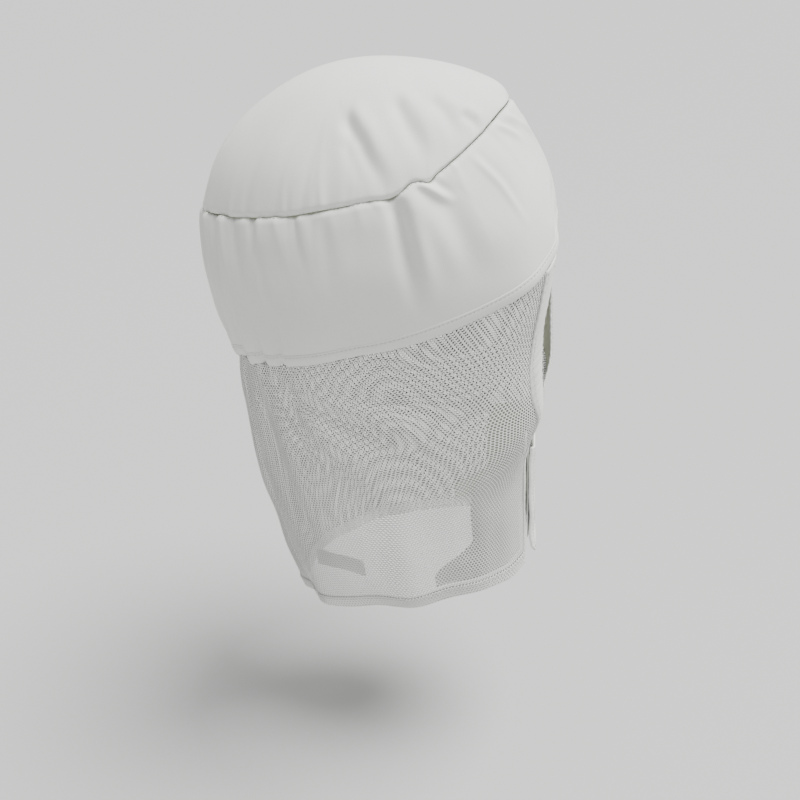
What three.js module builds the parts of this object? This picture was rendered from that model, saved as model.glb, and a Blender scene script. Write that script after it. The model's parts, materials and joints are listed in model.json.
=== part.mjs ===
// Cloth hood with a net shawl, as worn over hair and neck at a hive or in a food works.
// Millimetres, +Z up, face towards -Y, wearer's left towards +X.
// The origin is the top of the wearer's head, where the crown rests on it.
import * as THREE from 'three';

// ---------------------------------------------------------------- driving dimensions
const SHEET = 1.6;            // wall of a woven panel, with its soft folds
const NET_WALL = 1.4;         // wall of the net shawl
const TAPE = 1.2;             // wall of a sewn tape
const GAP = 0.5;              // room between two pieces that lie on each other
const SEAM_GAP = 0.8;         // room between two pieces that meet edge to edge
const THREAD = 0.9;           // sewing thread, as a cord of this diameter

// Closed seams, each a flattened ring round the head.
const CROWN_SEAM = {
  width: 82, front: 73, back: 112, zFront: -20, zBack: -84, sag: 16, lean: 0.6, egg: 0.08, power: 2.0,
  cheek: 0,
};
const BAND_EDGE = {
  width: 79, front: 104, back: 95, zFront: -88, zBack: -170, sag: 20, lean: 0.1, egg: 0, power: 2.3,
  cheek: 15,
};
const CROWN_ARC = 78;         // degrees of arc from the top of the crown to its seam
const BAND_BULGE = 7;         // how far the band stands out between its two seams
const BULGE_POWER = 0.8;      // under 1 fills the bulge out towards the seams
const BAND_CENTRE_Y = 5;      // the bulge points away from this line

// Net shawl, from the band's edge to the hem.
const HEM_FRONT_Z = -316;      // the hem is a tilted ring too, low at the back
const HEM_BACK_Z = -362;
const HEM_WIDTH = 60;
const HEM_BACK = 60;
const HEM_FRONT = 104;
const HEM_POWER = 2.2;
const JAW_TUCK = 7;           // how far the front draws in under the jaw
const CHEEK_MID = 23;         // how far the front corners stand forward at the cheeks
const CHEEK_LOW = 6;          // and below the chin
const CHEEK_RISE = [0.15, 0.42]; // shares of the drop over which they come forward
const CHEEK_FALL = [0.42, 0.7];  // and go back
const LAP_START = 0.25;       // share of the drop over which the left front steps out
const LAP_ACROSS = 0.85;      // cosine of the angle inside which it stands fully out
const NAPE_POWER = 1.9;       // how late the back of the shawl starts to taper
const HEM_HEIGHT = 9;         // turned-up edge of the net
const SHAWL_LENGTH = 200;     // mean drop of the net, which turns heights into shares of it

// Face opening and the two front edges.
const EDGE_ANGLE = 30;        // the front edges lie near this angle
const FACE_HALF = 50;         // half width between the net's edges beside the face
const CHIN_TOP_Z = -172;      // the edges start to close here
const PLACKET_TOP_Z = -240;   // and meet the plackets here
const BINDING_WIDTH = 11;
const PLACKET_SEAM_X = 27;    // where a placket is sewn to the net
const PLACKET_LAP = 12;       // how far a placket passes the middle
const PLACKET_LENGTH = 84;
const PLACKET_CORNER = 6;
const TAPE_WIDTH = 20;
const TAPE_HEIGHT = 62;
const TAPE_CORNER = 1.5;

// Pieces sewn inside.
const SEAM_BINDING_HEIGHT = 9;
const EDGE_BINDING_HEIGHT = 7;
const EDGE_ROOM = 1;          // room kept to the band's lower edge
const BROW_HEIGHT = 28;
const BROW_HALF_ANGLE = 60;
const ELASTIC_HEIGHT = 8;
const ELASTIC_HALF_ANGLE = 38;
const CASING_HEIGHT = 14;
const CASING_HALF_ANGLE = 42;
const FACING_REACH = 58;      // degrees of the ring that a front facing covers
const FACING_FOOT_REACH = 76; // and along its foot
const FACING_TOP_Z = -226;
const FACING_GAP = 1.1;        // room between a facing and the net's curved wall
const FACING_FOOT_START = 0.6; // share of its height where a facing starts to widen
const FACING_FOOT_END = 0.9;  // and has its full foot
const LABEL_LENGTH = 36;
const LABEL_HEIGHT = 15;
const LABEL_WALL = 0.8;
const LABEL_ANGLE = 113;      // where the label hangs, in degrees round from the face
const LABEL_ABOVE_HEM = 42;   // height of the label's top edge over the hem

const EDGE_PROUD = 0.4;       // how far a binding or hem stands proud of the cloth beside it

// Steps of the faceted surfaces.
const ROUND_STEPS = 60;
const CROWN_STEPS = 9;
const BAND_STEPS = 6;
const FACE_ROWS = 9;          // rows of the shawl beside the face
const NECK_ROWS = 6;          // and below the chin
const NET_STEPS = 64;
const BROW_STEPS = 24;
const BROW_ROWS = 3;
const ELASTIC_STEPS = 16;
const CASING_STEPS = 18;
const BINDING_STEPS = 3;
const FACING_STEPS = 10;
const FACING_ROWS = 8;
const CORD_SIDES = 6;

const SLOPE_STEP = 1e-3;      // parameter step over which a slope is measured
// A point inside the head, which tells outward normals from inward ones.
const INSIDE = new THREE.Vector3(0, 0, -150);
const rad = THREE.MathUtils.degToRad;
const mix = THREE.MathUtils.lerp;

// ---------------------------------------------------------------- the hood's surface
// A signed power, which squares off a circle's sine and cosine.
function squared(value, power) {
  return Math.sign(value) * Math.abs(value) ** (2 / power);
}

// 1 at the two front corners, half way between the face and the ears, and 0 behind the ears.
function corner(angle) {
  return Math.cos(rad(angle)) > 0 ? Math.sin(2 * rad(angle)) ** 2 : 0;
}

// Point of a closed seam at an angle round the head: 0 is the face, 90 the wearer's right.
function seamPoint(seam, angle) {
  const c = Math.cos(rad(angle));
  const s = Math.sin(rad(angle));
  const half = (seam.front + seam.back) / 2;
  return new THREE.Vector3(
    -seam.width * squared(s, seam.power) * (1 + seam.egg * c),
    (seam.back - seam.front) / 2 - half * squared(c, seam.power) - seam.cheek * corner(angle),
    mix(seam.zBack, seam.zFront, (1 + c) / 2) - seam.sag * s * s * (1 + seam.lean * c),
  );
}

// Crown: an arc from the top of the head out and down to the crown seam.
function crownPoint(angle, down) {
  const arc = rad(CROWN_ARC);
  const seam = seamPoint(CROWN_SEAM, angle);
  const out = Math.sin(down * arc) / Math.sin(arc);
  const drop = (1 - Math.cos(down * arc)) / (1 - Math.cos(arc));
  return new THREE.Vector3(seam.x * out, seam.y * out, SHEET + (seam.z - SHEET) * drop);
}

// Band: straight from the crown seam to its lower edge, with a soft bulge between them.
function bandPoint(angle, down) {
  const top = seamPoint(CROWN_SEAM, angle);
  const low = seamPoint(BAND_EDGE, angle);
  const point = top.lerp(low, down);
  const away = new THREE.Vector3(point.x / BAND_EDGE.width, (point.y - BAND_CENTRE_Y) / BAND_EDGE.front, 0);
  return point.addScaledVector(away.normalize(), BAND_BULGE * Math.sin(Math.PI * down) ** BULGE_POWER);
}

// Half width of the open front at a height: wide beside the face, closed below the chin.
function frontHalf(z) {
  return mix(PLACKET_SEAM_X, FACE_HALF, THREE.MathUtils.smoothstep(z, PLACKET_TOP_Z, CHIN_TOP_Z));
}

// The left front laps over the right one, so it lies further out.
const LAP_STEP = SHEET + 2 * (TAPE + GAP) + GAP;
function leftStep(angle, down) {
  const c = Math.cos(rad(angle));
  const isLeftFront = angle > 180 && c > 0;
  const across = THREE.MathUtils.smoothstep(c, 0, LAP_ACROSS);
  return isLeftFront ? LAP_STEP * across * THREE.MathUtils.smoothstep(down, 0, LAP_START) : 0;
}

// How far the shawl's front corners stand forward at a share of the drop.
function cheekAt(down) {
  const rise = THREE.MathUtils.smoothstep(down, ...CHEEK_RISE);
  const fall = THREE.MathUtils.smoothstep(down, ...CHEEK_FALL);
  return mix(BAND_EDGE.cheek, CHEEK_MID, rise) - (CHEEK_MID - CHEEK_LOW) * fall;
}

// Height of the hem at an angle.
function hemZ(angle) {
  return mix(HEM_BACK_Z, HEM_FRONT_Z, (1 + Math.cos(rad(angle))) / 2);
}

// Shawl: each level is a ring between the band's edge and the hem.
function shawlPoint(angle, down) {
  const edge = seamPoint(BAND_EDGE, angle);
  const power = mix(BAND_EDGE.power, HEM_POWER, down);
  const width = mix(BAND_EDGE.width, HEM_WIDTH, down);
  const back = BAND_EDGE.back + (HEM_BACK - BAND_EDGE.back) * down ** NAPE_POWER;
  const front = mix(BAND_EDGE.front, HEM_FRONT, down) - JAW_TUCK * Math.sin(Math.PI * down);
  const c = Math.cos(rad(angle));
  const s = Math.sin(rad(angle));
  return new THREE.Vector3(
    -width * squared(s, power),
    (back - front) / 2 - (front + back) / 2 * squared(c, power)
      - leftStep(angle, down) - cheekAt(down) * corner(angle),
    mix(edge.z, hemZ(angle), down),
  );
}

// Angle at which a level of the shawl reaches a half width at the front.
function frontAngle(half, down) {
  const power = mix(BAND_EDGE.power, HEM_POWER, down);
  const width = mix(BAND_EDGE.width, HEM_WIDTH, down);
  return THREE.MathUtils.radToDeg(Math.asin((half / width) ** (power / 2)));
}

// Share of the way down the shawl at which a given angle is at height z.
function shawlDown(angle, z) {
  const edge = seamPoint(BAND_EDGE, angle);
  return (z - edge.z) / (hemZ(angle) - edge.z);
}

// ---------------------------------------------------------------- closed solids
// Outward normal of a surface given as a function of two parameters.
function normalAt(surface, u, v) {
  const step = SLOPE_STEP;
  const low = Math.max(v - step, 0);
  const high = Math.min(v + step, 1);
  const alongU = surface(u + step, v).sub(surface(u - step, v));
  const alongV = surface(u, high).sub(surface(u, low));
  return alongU.cross(alongV).normalize();
}

// Turns every triangle over if the solid came out inside out.
function facingOut(positions, triangles) {
  let volume = 0;
  const vertex = (i) => new THREE.Vector3().fromArray(positions, 3 * i);
  for (let i = 0; i < triangles.length; i += 3) {
    const [a, b, c] = triangles.slice(i, i + 3).map(vertex);
    volume += a.dot(b.cross(c));
  }
  const geometry = new THREE.BufferGeometry();
  geometry.setAttribute('position', new THREE.Float32BufferAttribute(positions, 3));
  geometry.setIndex(volume < 0 ? triangles.reverse() : triangles);
  geometry.computeVertexNormals();
  return geometry;
}

// A wall between two offsets of a surface. u and v run from 0 to 1, and the wall is closed
// round u if it is a ring, and over the top at v = 0 if it has a pole there.
function wall({ surface, uSteps, vSteps, outer, inner, ring = false, pole = false }) {
  const positions = [];
  const triangles = [];
  const columns = ring ? uSteps : uSteps + 1;
  const sides = [outer, inner];
  const index = (side, i, j) => (side * (vSteps + 1) + j) * columns + (ring ? i % columns : i);
  sides.forEach((offset) => {
    for (let j = 0; j <= vSteps; j += 1) {
      for (let i = 0; i < columns; i += 1) {
        const u = i / uSteps;
        const v = j / vSteps;
        const atPole = pole && j === 0;
        const normal = atPole ? new THREE.Vector3(0, 0, 1) : normalAt(surface, u, v);
        if (!atPole && normal.dot(surface(u, v).sub(INSIDE)) < 0) {
          normal.negate();
        }
        positions.push(...surface(u, v).addScaledVector(normal, offset).toArray());
      }
    }
  });
  const quad = (a, b, c, d) => triangles.push(a, b, c, a, c, d);
  for (let i = 0; i < uSteps; i += 1) {
    for (let j = 0; j < vSteps; j += 1) {
      if (pole && j === 0) {
        triangles.push(index(0, 0, 0), index(0, i, 1), index(0, i + 1, 1));
        triangles.push(index(1, 0, 0), index(1, i + 1, 1), index(1, i, 1));
      } else {
        quad(index(0, i, j), index(0, i, j + 1), index(0, i + 1, j + 1), index(0, i + 1, j));
        quad(index(1, i, j), index(1, i + 1, j), index(1, i + 1, j + 1), index(1, i, j + 1));
      }
    }
    quad(index(0, i, vSteps), index(1, i, vSteps), index(1, i + 1, vSteps), index(0, i + 1, vSteps));
    if (!pole) {
      quad(index(0, i + 1, 0), index(1, i + 1, 0), index(1, i, 0), index(0, i, 0));
    }
  }
  if (!ring) {
    for (let j = 0; j < vSteps; j += 1) {
      quad(index(0, 0, j), index(1, 0, j), index(1, 0, j + 1), index(0, 0, j + 1));
      quad(index(0, uSteps, j + 1), index(1, uSteps, j + 1), index(1, uSteps, j), index(0, uSteps, j));
    }
  }
  return facingOut(positions, triangles);
}

// A round cord along a closed line.
function cordRing(line, diameter, steps, sides = CORD_SIDES) {
  const positions = [];
  const triangles = [];
  for (let i = 0; i < steps; i += 1) {
    const point = line(i / steps);
    const ahead = line((i + SLOPE_STEP) / steps).sub(point).normalize();
    const across = new THREE.Vector3(0, 0, 1).cross(ahead).normalize();
    const up = ahead.clone().cross(across);
    for (let k = 0; k < sides; k += 1) {
      const turn = 2 * Math.PI * k / sides;
      const place = point.clone().addScaledVector(across, diameter / 2 * Math.cos(turn));
      positions.push(...place.addScaledVector(up, diameter / 2 * Math.sin(turn)).toArray());
    }
  }
  const index = (i, k) => (i % steps) * sides + (k % sides);
  for (let i = 0; i < steps; i += 1) {
    for (let k = 0; k < sides; k += 1) {
      triangles.push(index(i, k), index(i + 1, k), index(i + 1, k + 1));
      triangles.push(index(i, k), index(i + 1, k + 1), index(i, k + 1));
    }
  }
  return facingOut(positions, triangles);
}

// A flat sheet in an upright plane, with its lower corners rounded.
function sheetShape(xLow, xHigh, zLow, zHigh, corner) {
  const shape = new THREE.Shape();
  shape.moveTo(xLow, zHigh);
  shape.lineTo(xLow, zLow + corner);
  shape.absarc(xLow + corner, zLow + corner, corner, Math.PI, 1.5 * Math.PI, false);
  shape.lineTo(xHigh - corner, zLow);
  shape.absarc(xHigh - corner, zLow + corner, corner, 1.5 * Math.PI, 2 * Math.PI, false);
  shape.lineTo(xHigh, zHigh);
  shape.closePath();
  return shape;
}

// ---------------------------------------------------------------- finishes
function finish(color, roughness) {
  return new THREE.MeshStandardMaterial({ color, roughness, metalness: 0 });
}
const poplin = finish('#dcdcd8', 0.85);
const shadedPoplin = finish('#cfcfcb', 0.88);
const liningCloth = finish('#b9bbaa', 0.9);
const netKnit = finish('#d0d0cc', 0.8);
const elasticKnit = finish('#ecebe6', 0.75);
const threadYarn = finish('#c3c3bf', 0.7);
const hookPlastic = finish('#cfd5d8', 0.5);
const loopPile = finish('#e2e2de', 0.95);
const labelSatin = finish('#eeeeee', 0.6);

const hood = new THREE.Group();
function add(name, geometry, material, parent = hood) {
  const mesh = new THREE.Mesh(geometry, material);
  mesh.name = name;
  parent.add(mesh);
  return mesh;
}

// ---------------------------------------------------------------- crown
const crownLength = seamPoint(CROWN_SEAM, 90).length();
add('crown_panel', wall({
  surface: (u, v) => crownPoint(360 * u, v * (1 - SEAM_GAP / crownLength)),
  uSteps: ROUND_STEPS,
  vSteps: CROWN_STEPS,
  outer: 0,
  inner: -SHEET,
  ring: true,
  pole: true,
}), poplin);

// ---------------------------------------------------------------- band and what is sewn to it
const bandHeight = seamPoint(CROWN_SEAM, 90).distanceTo(seamPoint(BAND_EDGE, 90));
const share = (height) => height / bandHeight;

// A strip of the band's surface between two heights and two angles.
function bandStrip({ from, to, start = 0, end = 360, steps, rows = 2, outer, inner }) {
  return wall({
    surface: (u, v) => bandPoint(mix(start, end, u), mix(from, to, v)),
    uSteps: steps,
    vSteps: rows,
    outer,
    inner,
    ring: end - start === 360,
  });
}

const edgeStart = 1 - share(EDGE_BINDING_HEIGHT);
add('side_band', bandStrip({
  from: share(SEAM_GAP),
  to: edgeStart - share(SEAM_GAP),
  steps: ROUND_STEPS,
  rows: BAND_STEPS,
  outer: 0,
  inner: -SHEET,
}), shadedPoplin);

add('band_edge_binding', bandStrip({
  from: edgeStart,
  to: 1,
  steps: ROUND_STEPS,
  outer: EDGE_PROUD,
  inner: -SHEET,
}), poplin);

// The crown's seam thread lies in the corner under the crown, against the band.
add('crown_seam_thread', cordRing((u) => {
  const point = bandPoint(360 * u, share(2 * SEAM_GAP));
  const inward = new THREE.Vector3(-point.x, -point.y, 0).normalize();
  return point.addScaledVector(inward, SHEET + GAP + THREAD / 2);
}, THREAD, ROUND_STEPS), threadYarn);

const insideBand = -SHEET - GAP;
add('crown_seam_binding', bandStrip({
  from: share(4 * SEAM_GAP),
  to: share(4 * SEAM_GAP + SEAM_BINDING_HEIGHT),
  steps: ROUND_STEPS,
  outer: insideBand,
  inner: insideBand - TAPE,
}), liningCloth);

const browEnd = 1 - share(EDGE_ROOM);
add('brow_sweatband', bandStrip({
  from: browEnd - share(BROW_HEIGHT),
  to: browEnd,
  start: -BROW_HALF_ANGLE,
  end: BROW_HALF_ANGLE,
  steps: BROW_STEPS,
  rows: BROW_ROWS,
  outer: insideBand,
  inner: insideBand - SHEET,
}), liningCloth);

const napeMiddle = 1 - share(EDGE_ROOM + CASING_HEIGHT / 2);
add('nape_elastic', bandStrip({
  from: napeMiddle - share(ELASTIC_HEIGHT / 2),
  to: napeMiddle + share(ELASTIC_HEIGHT / 2),
  start: 180 - ELASTIC_HALF_ANGLE,
  end: 180 + ELASTIC_HALF_ANGLE,
  steps: ELASTIC_STEPS,
  outer: insideBand,
  inner: insideBand - TAPE,
}), elasticKnit);

const insideElastic = insideBand - TAPE - GAP;
add('nape_casing', bandStrip({
  from: napeMiddle - share(CASING_HEIGHT / 2),
  to: napeMiddle + share(CASING_HEIGHT / 2),
  start: 180 - CASING_HALF_ANGLE,
  end: 180 + CASING_HALF_ANGLE,
  steps: CASING_STEPS,
  outer: insideElastic,
  inner: insideElastic - TAPE,
}), liningCloth);

// ---------------------------------------------------------------- net shawl
// The net runs from the right front edge round the nape to the left front edge.
const netTop = SEAM_GAP / SHAWL_LENGTH;
const netBottom = 1 - (HEM_HEIGHT + SEAM_GAP) / SHAWL_LENGTH;
const hemTop = 1 - HEM_HEIGHT / SHAWL_LENGTH;
const placketDown = shawlDown(EDGE_ANGLE, PLACKET_TOP_Z);

// Half width of the open front at a level of the shawl.
function frontHalfAt(down) {
  return frontHalf(shawlPoint(EDGE_ANGLE, down).z);
}

// Point of the shawl at a half width on one side of the front.
function frontPoint(side, half, down) {
  const angle = frontAngle(half, down);
  return shawlPoint(side > 0 ? 360 - angle : angle, down);
}

function shawlStrip({ level, rows, outer, inner }) {
  return wall({
    surface: (u, v) => {
      const down = level(v);
      const start = frontAngle(frontHalfAt(down) + 1.35 * SEAM_GAP, down);
      return shawlPoint(mix(start, 360 - start, u), down);
    },
    uSteps: NET_STEPS,
    vSteps: rows,
    outer,
    inner,
  });
}

// Levels of the net: rows beside the face, which the bindings share, then rows to the hem.
const faceShare = FACE_ROWS / (FACE_ROWS + NECK_ROWS);
function netLevel(v) {
  if (v <= faceShare) {
    return mix(netTop, placketDown, v / faceShare);
  }
  return mix(placketDown, netBottom, (v - faceShare) / (1 - faceShare));
}

add('shawl_net', shawlStrip({
  level: netLevel,
  rows: FACE_ROWS + NECK_ROWS,
  outer: 0,
  inner: -NET_WALL,
}), netKnit);
add('shawl_hem', shawlStrip({
  level: (v) => mix(hemTop, 1, v),
  rows: 1,
  outer: EDGE_PROUD,
  inner: -SHEET,
}), netKnit);

// ---------------------------------------------------------------- face opening
// A binding carries on from the net's edge towards the face.
function faceBinding(side) {
  return wall({
    surface: (u, v) => {
      const down = netLevel(v * faceShare);
      const half = frontHalfAt(down) + 0.5 * SEAM_GAP - BINDING_WIDTH * u;
      return frontPoint(side, half, down);
    },
    uSteps: BINDING_STEPS,
    vSteps: FACE_ROWS,
    outer: EDGE_PROUD,
    inner: -SHEET,
  });
}
add('right_face_binding', faceBinding(-1), poplin);
add('left_face_binding', faceBinding(1), poplin);

// ---------------------------------------------------------------- plackets and their closure
// The plackets lie in a plane through the net's right edge, from the chin to the hem.
const edgeTop = frontPoint(-1, PLACKET_SEAM_X, placketDown);
const edgeLow = frontPoint(-1, PLACKET_SEAM_X, 1);
const plackets = new THREE.Group();
plackets.position.set(0, edgeTop.y, edgeTop.z - SEAM_GAP);
plackets.rotation.x = Math.atan2(edgeTop.y - edgeLow.y, edgeTop.z - edgeLow.z) * -1;
hood.add(plackets);

// Layers from the neck outwards: right placket, loop tape, hook tape, left placket.
function layer(name, shape, innerY, thickness, material) {
  const geometry = new THREE.ExtrudeGeometry(shape, {
    depth: thickness,
    bevelEnabled: false,
    curveSegments: 4,
  });
  const mesh = add(name, geometry, material, plackets);
  mesh.rotation.x = Math.PI / 2;
  mesh.position.y = innerY;
  return innerY - thickness - GAP;
}

const tapeTop = (TAPE_HEIGHT - PLACKET_LENGTH) / 2;
const rightShape = sheetShape(
  -PLACKET_SEAM_X, PLACKET_LAP, -PLACKET_LENGTH, 0, PLACKET_CORNER,
);
const leftShape = sheetShape(
  -PLACKET_LAP, PLACKET_SEAM_X, -PLACKET_LENGTH, 0, PLACKET_CORNER,
);
const tapeShape = sheetShape(
  -TAPE_WIDTH / 2, TAPE_WIDTH / 2, tapeTop - TAPE_HEIGHT, tapeTop, TAPE_CORNER,
);

const loopY = layer('right_placket', rightShape, SHEET, SHEET, poplin);
const hookY = layer('loop_tape', tapeShape, loopY, TAPE, loopPile);
const leftY = layer('hook_tape', tapeShape, hookY, TAPE, hookPlastic);
layer('left_placket', leftShape, leftY, SHEET, poplin);

// Cloth facings inside the net behind each placket seam.
function frontFacing(side) {
  return wall({
    surface: (u, v) => {
      const top = shawlDown(EDGE_ANGLE, FACING_TOP_Z);
      const down = mix(top, netBottom - SEAM_GAP / SHAWL_LENGTH, v);
      const start = frontAngle(frontHalfAt(down) + 2 * SEAM_GAP, down);
      const foot = THREE.MathUtils.smoothstep(v, FACING_FOOT_START, FACING_FOOT_END);
      const angle = mix(start, mix(FACING_REACH, FACING_FOOT_REACH, foot), u);
      return shawlPoint(side > 0 ? 360 - angle : angle, down);
    },
    uSteps: FACING_STEPS,
    vSteps: FACING_ROWS,
    outer: -NET_WALL - FACING_GAP,
    inner: -NET_WALL - FACING_GAP - TAPE,
  });
}
add('right_front_facing', frontFacing(-1), liningCloth);
add('left_front_facing', frontFacing(1), liningCloth);

// ---------------------------------------------------------------- care label
// A blank label hangs from its top edge and leans on the inside of the net. It spans the net's
// curve as a chord, so its two ends touch and the net curves away behind its middle.
const CHORD_HALF_MOST = 60;   // degrees
const CHORD_HALVINGS = 30;
function netChord(z) {
  const ends = (half) => [LABEL_ANGLE - half, LABEL_ANGLE + half].map(
    (angle) => shawlPoint(angle, shawlDown(angle, z)),
  );
  let low = 0;
  let high = CHORD_HALF_MOST;
  for (let i = 0; i < CHORD_HALVINGS; i += 1) {
    const half = (low + high) / 2;
    const [a, b] = ends(half);
    if (a.distanceTo(b) < LABEL_LENGTH) {
      low = half;
    } else {
      high = half;
    }
  }
  const [near, far] = ends(low);
  return { middle: near.clone().lerp(far, 0.5), along: far.sub(near).normalize() };
}

const labelTopZ = hemZ(LABEL_ANGLE) + LABEL_ABOVE_HEM;
const labelTop = netChord(labelTopZ);
const labelLow = netChord(labelTopZ - LABEL_HEIGHT);
const labelUp = labelTop.middle.clone().sub(labelLow.middle);
labelUp.addScaledVector(labelTop.along, -labelUp.dot(labelTop.along)).normalize();
const labelInward = labelTop.along.clone().cross(labelUp).normalize();
const labelInset = NET_WALL + 2 * GAP + LABEL_WALL / 2;

const labelGeometry = new THREE.BoxGeometry(LABEL_LENGTH, LABEL_HEIGHT, LABEL_WALL);
const label = add('care_label', labelGeometry, labelSatin);
label.applyMatrix4(new THREE.Matrix4().makeBasis(labelTop.along, labelUp, labelInward));
label.position.copy(labelTop.middle)
  .addScaledVector(labelUp, -LABEL_HEIGHT / 2)
  .addScaledVector(labelInward, labelInset);

export default hood;
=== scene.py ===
# %% [markdown]
# # A cloth hood with a net shawl
# A beekeeper's hood is four pieces of limp cloth: a domed crown, a tall band gathered to it, a
# net shawl that hangs from the band, and a lapped closure under the chin. Nothing in it is stiff,
# so its look comes from three things: where the seams pull, how the cloth folds between them,
# and what the cloth is made of.
#
# Each panel is computed here as a surface of two numbers, the angle round the head and the share
# of the way down the panel, and its folds are added along the surface's own normal. That keeps
# neighbouring panels joined at their seams, which a free simulation would not promise.

# %% Load the frame that everything is fitted to
import json
import math
import bpy
import bmesh
import numpy as np
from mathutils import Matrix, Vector


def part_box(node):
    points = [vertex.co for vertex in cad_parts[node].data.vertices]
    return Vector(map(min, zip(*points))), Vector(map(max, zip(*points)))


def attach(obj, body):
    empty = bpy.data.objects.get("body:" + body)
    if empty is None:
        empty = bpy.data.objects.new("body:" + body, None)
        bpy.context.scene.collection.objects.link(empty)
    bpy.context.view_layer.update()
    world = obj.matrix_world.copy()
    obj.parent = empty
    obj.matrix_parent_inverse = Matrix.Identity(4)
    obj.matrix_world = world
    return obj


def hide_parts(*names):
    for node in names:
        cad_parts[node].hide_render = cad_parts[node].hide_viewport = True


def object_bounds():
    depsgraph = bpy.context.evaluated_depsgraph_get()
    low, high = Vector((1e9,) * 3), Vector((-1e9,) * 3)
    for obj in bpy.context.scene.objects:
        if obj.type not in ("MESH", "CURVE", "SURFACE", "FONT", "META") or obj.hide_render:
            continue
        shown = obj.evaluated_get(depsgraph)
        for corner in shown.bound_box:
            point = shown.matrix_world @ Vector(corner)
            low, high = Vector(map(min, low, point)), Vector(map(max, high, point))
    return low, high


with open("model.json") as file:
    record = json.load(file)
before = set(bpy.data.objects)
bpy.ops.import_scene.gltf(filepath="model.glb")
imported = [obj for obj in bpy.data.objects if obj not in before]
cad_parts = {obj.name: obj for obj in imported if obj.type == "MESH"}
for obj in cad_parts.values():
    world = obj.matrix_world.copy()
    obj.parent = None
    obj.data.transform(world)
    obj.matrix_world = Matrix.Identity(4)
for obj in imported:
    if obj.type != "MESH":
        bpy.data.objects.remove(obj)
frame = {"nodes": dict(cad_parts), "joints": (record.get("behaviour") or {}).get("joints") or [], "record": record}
cad_lowest, cad_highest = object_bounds()
MM = 0.001
print("CAD box in mm:", [round(v / MM, 1) for v in (*cad_lowest, *cad_highest)])

# %% [markdown]
# ## The smooth shape of the hood
# Seen from above a hood is an oval ring at every height. A ring is given by its half width, how
# far it reaches to the face and to the nape, and how square its oval is. The crown seam, the
# band's lower edge and the hem are all tilted: high at the face and low at the nape.

# %% Sizes of the sewn rings, in metres
TOP_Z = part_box("crown_panel")[1].z
HEM_FRONT_Z = -0.316
HEM_BACK_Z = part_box("shawl_hem")[0].z
HEM_HALF = 0.060
CROWN_SEAM = dict(half=0.082, front=0.073, back=0.112, z_front=-0.020, z_back=-0.084,
                  sag=0.016, lean=0.6, egg=0.08, power=2.0, cheek=0.0)
BAND_EDGE = dict(half=0.079, front=0.104, back=0.095, z_front=-0.088, z_back=-0.170,
                 sag=0.020, lean=0.1, egg=0.0, power=2.3, cheek=0.015)
CHEEK_MID, CHEEK_LOW = 0.023, 0.006
CROWN_ARC = math.radians(78)
BAND_BULGE = 7 * MM
BULGE_POWER = 0.8
BAND_CENTRE_Y = 5 * MM
HEM_FRONT, HEM_BACK, HEM_POWER = 0.104, 0.060, 2.2
JAW_TUCK = 7 * MM
NAPE_POWER = 1.9
LAP_STEP = 5.5 * MM
INSIDE = np.array([0, 5 * MM, -0.150])
print("top of the crown", round(TOP_Z / MM, 1), "mm")
print("hem at the nape", round(HEM_BACK_Z / MM, 1), "mm, at the face", HEM_FRONT_Z / MM, "mm")

# %% [markdown]
# Folds, swells and tapers are all made from a few soft curves: a blend, an S-shaped step and a
# bell. Cloth has no sharp steps, so nothing below switches on or off at once.

# %% Small helpers for arrays
def mix(a, b, t):
    """Straight blend from a to b."""
    return a + (b - a) * t


def smooth(x, low, high):
    """0 below low, 1 above high, with an S curve between them."""
    t = np.clip((x - low) / (high - low), 0, 1)
    return t * t * (3 - 2 * t)


def bump(x, centre, width):
    """A bell of height 1: exp(-((x - centre) / width)^2)."""
    return np.exp(-((x - centre) / width) ** 2)


def turned(angle):
    """The same direction as an angle from -180 to 180 degrees."""
    return (angle + 180) % 360 - 180


def squared(value, power):
    """A signed power 2 / power, which squares off a circle's sine and cosine."""
    return np.sign(value) * np.abs(value) ** (2 / power)


# %% [markdown]
# The band and the shawl are blends between two rings. The band swells between its seams,
# because its cloth is longer than both, and the shawl narrows towards the neck.

# %% The rings, the band and the shawl
def corner(angle):
    """1 at the two front corners, half way from the face to the ears, and 0 behind the ears."""
    return np.where(np.cos(np.radians(angle)) > 0, np.sin(np.radians(2 * angle)) ** 2, 0)


def ring_point(ring, angle):
    """Point of a sewn ring: a squared oval of half width and two reaches, whose height goes from
    z_front to z_back and sags at the ears. Angle 0 is the face and 90 the wearer's right."""
    c, s = np.cos(np.radians(angle)), np.sin(np.radians(angle))
    middle, reach = (ring["back"] - ring["front"]) / 2, (ring["back"] + ring["front"]) / 2
    return np.stack([
        -ring["half"] * squared(s, ring["power"]) * (1 + ring["egg"] * c),
        middle - reach * squared(c, ring["power"]) - ring["cheek"] * corner(angle),
        mix(ring["z_back"], ring["z_front"], (1 + c) / 2)
        - ring["sag"] * s * s * (1 + ring["lean"] * c),
    ], -1)


def band_point(angle, down):
    """Straight from the crown seam to the band's edge, pushed out by a half sine."""
    top, low = ring_point(CROWN_SEAM, angle), ring_point(BAND_EDGE, angle)
    point = mix(top, low, down[..., None])
    away = np.stack([point[..., 0] / BAND_EDGE["half"],
                     (point[..., 1] - BAND_CENTRE_Y) / BAND_EDGE["front"], 0 * down], -1)
    away /= np.linalg.norm(away, axis=-1, keepdims=True)
    swell = np.sin(np.pi * np.clip(down, 0, 1)) ** BULGE_POWER
    return point + away * BAND_BULGE * swell[..., None]


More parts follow.
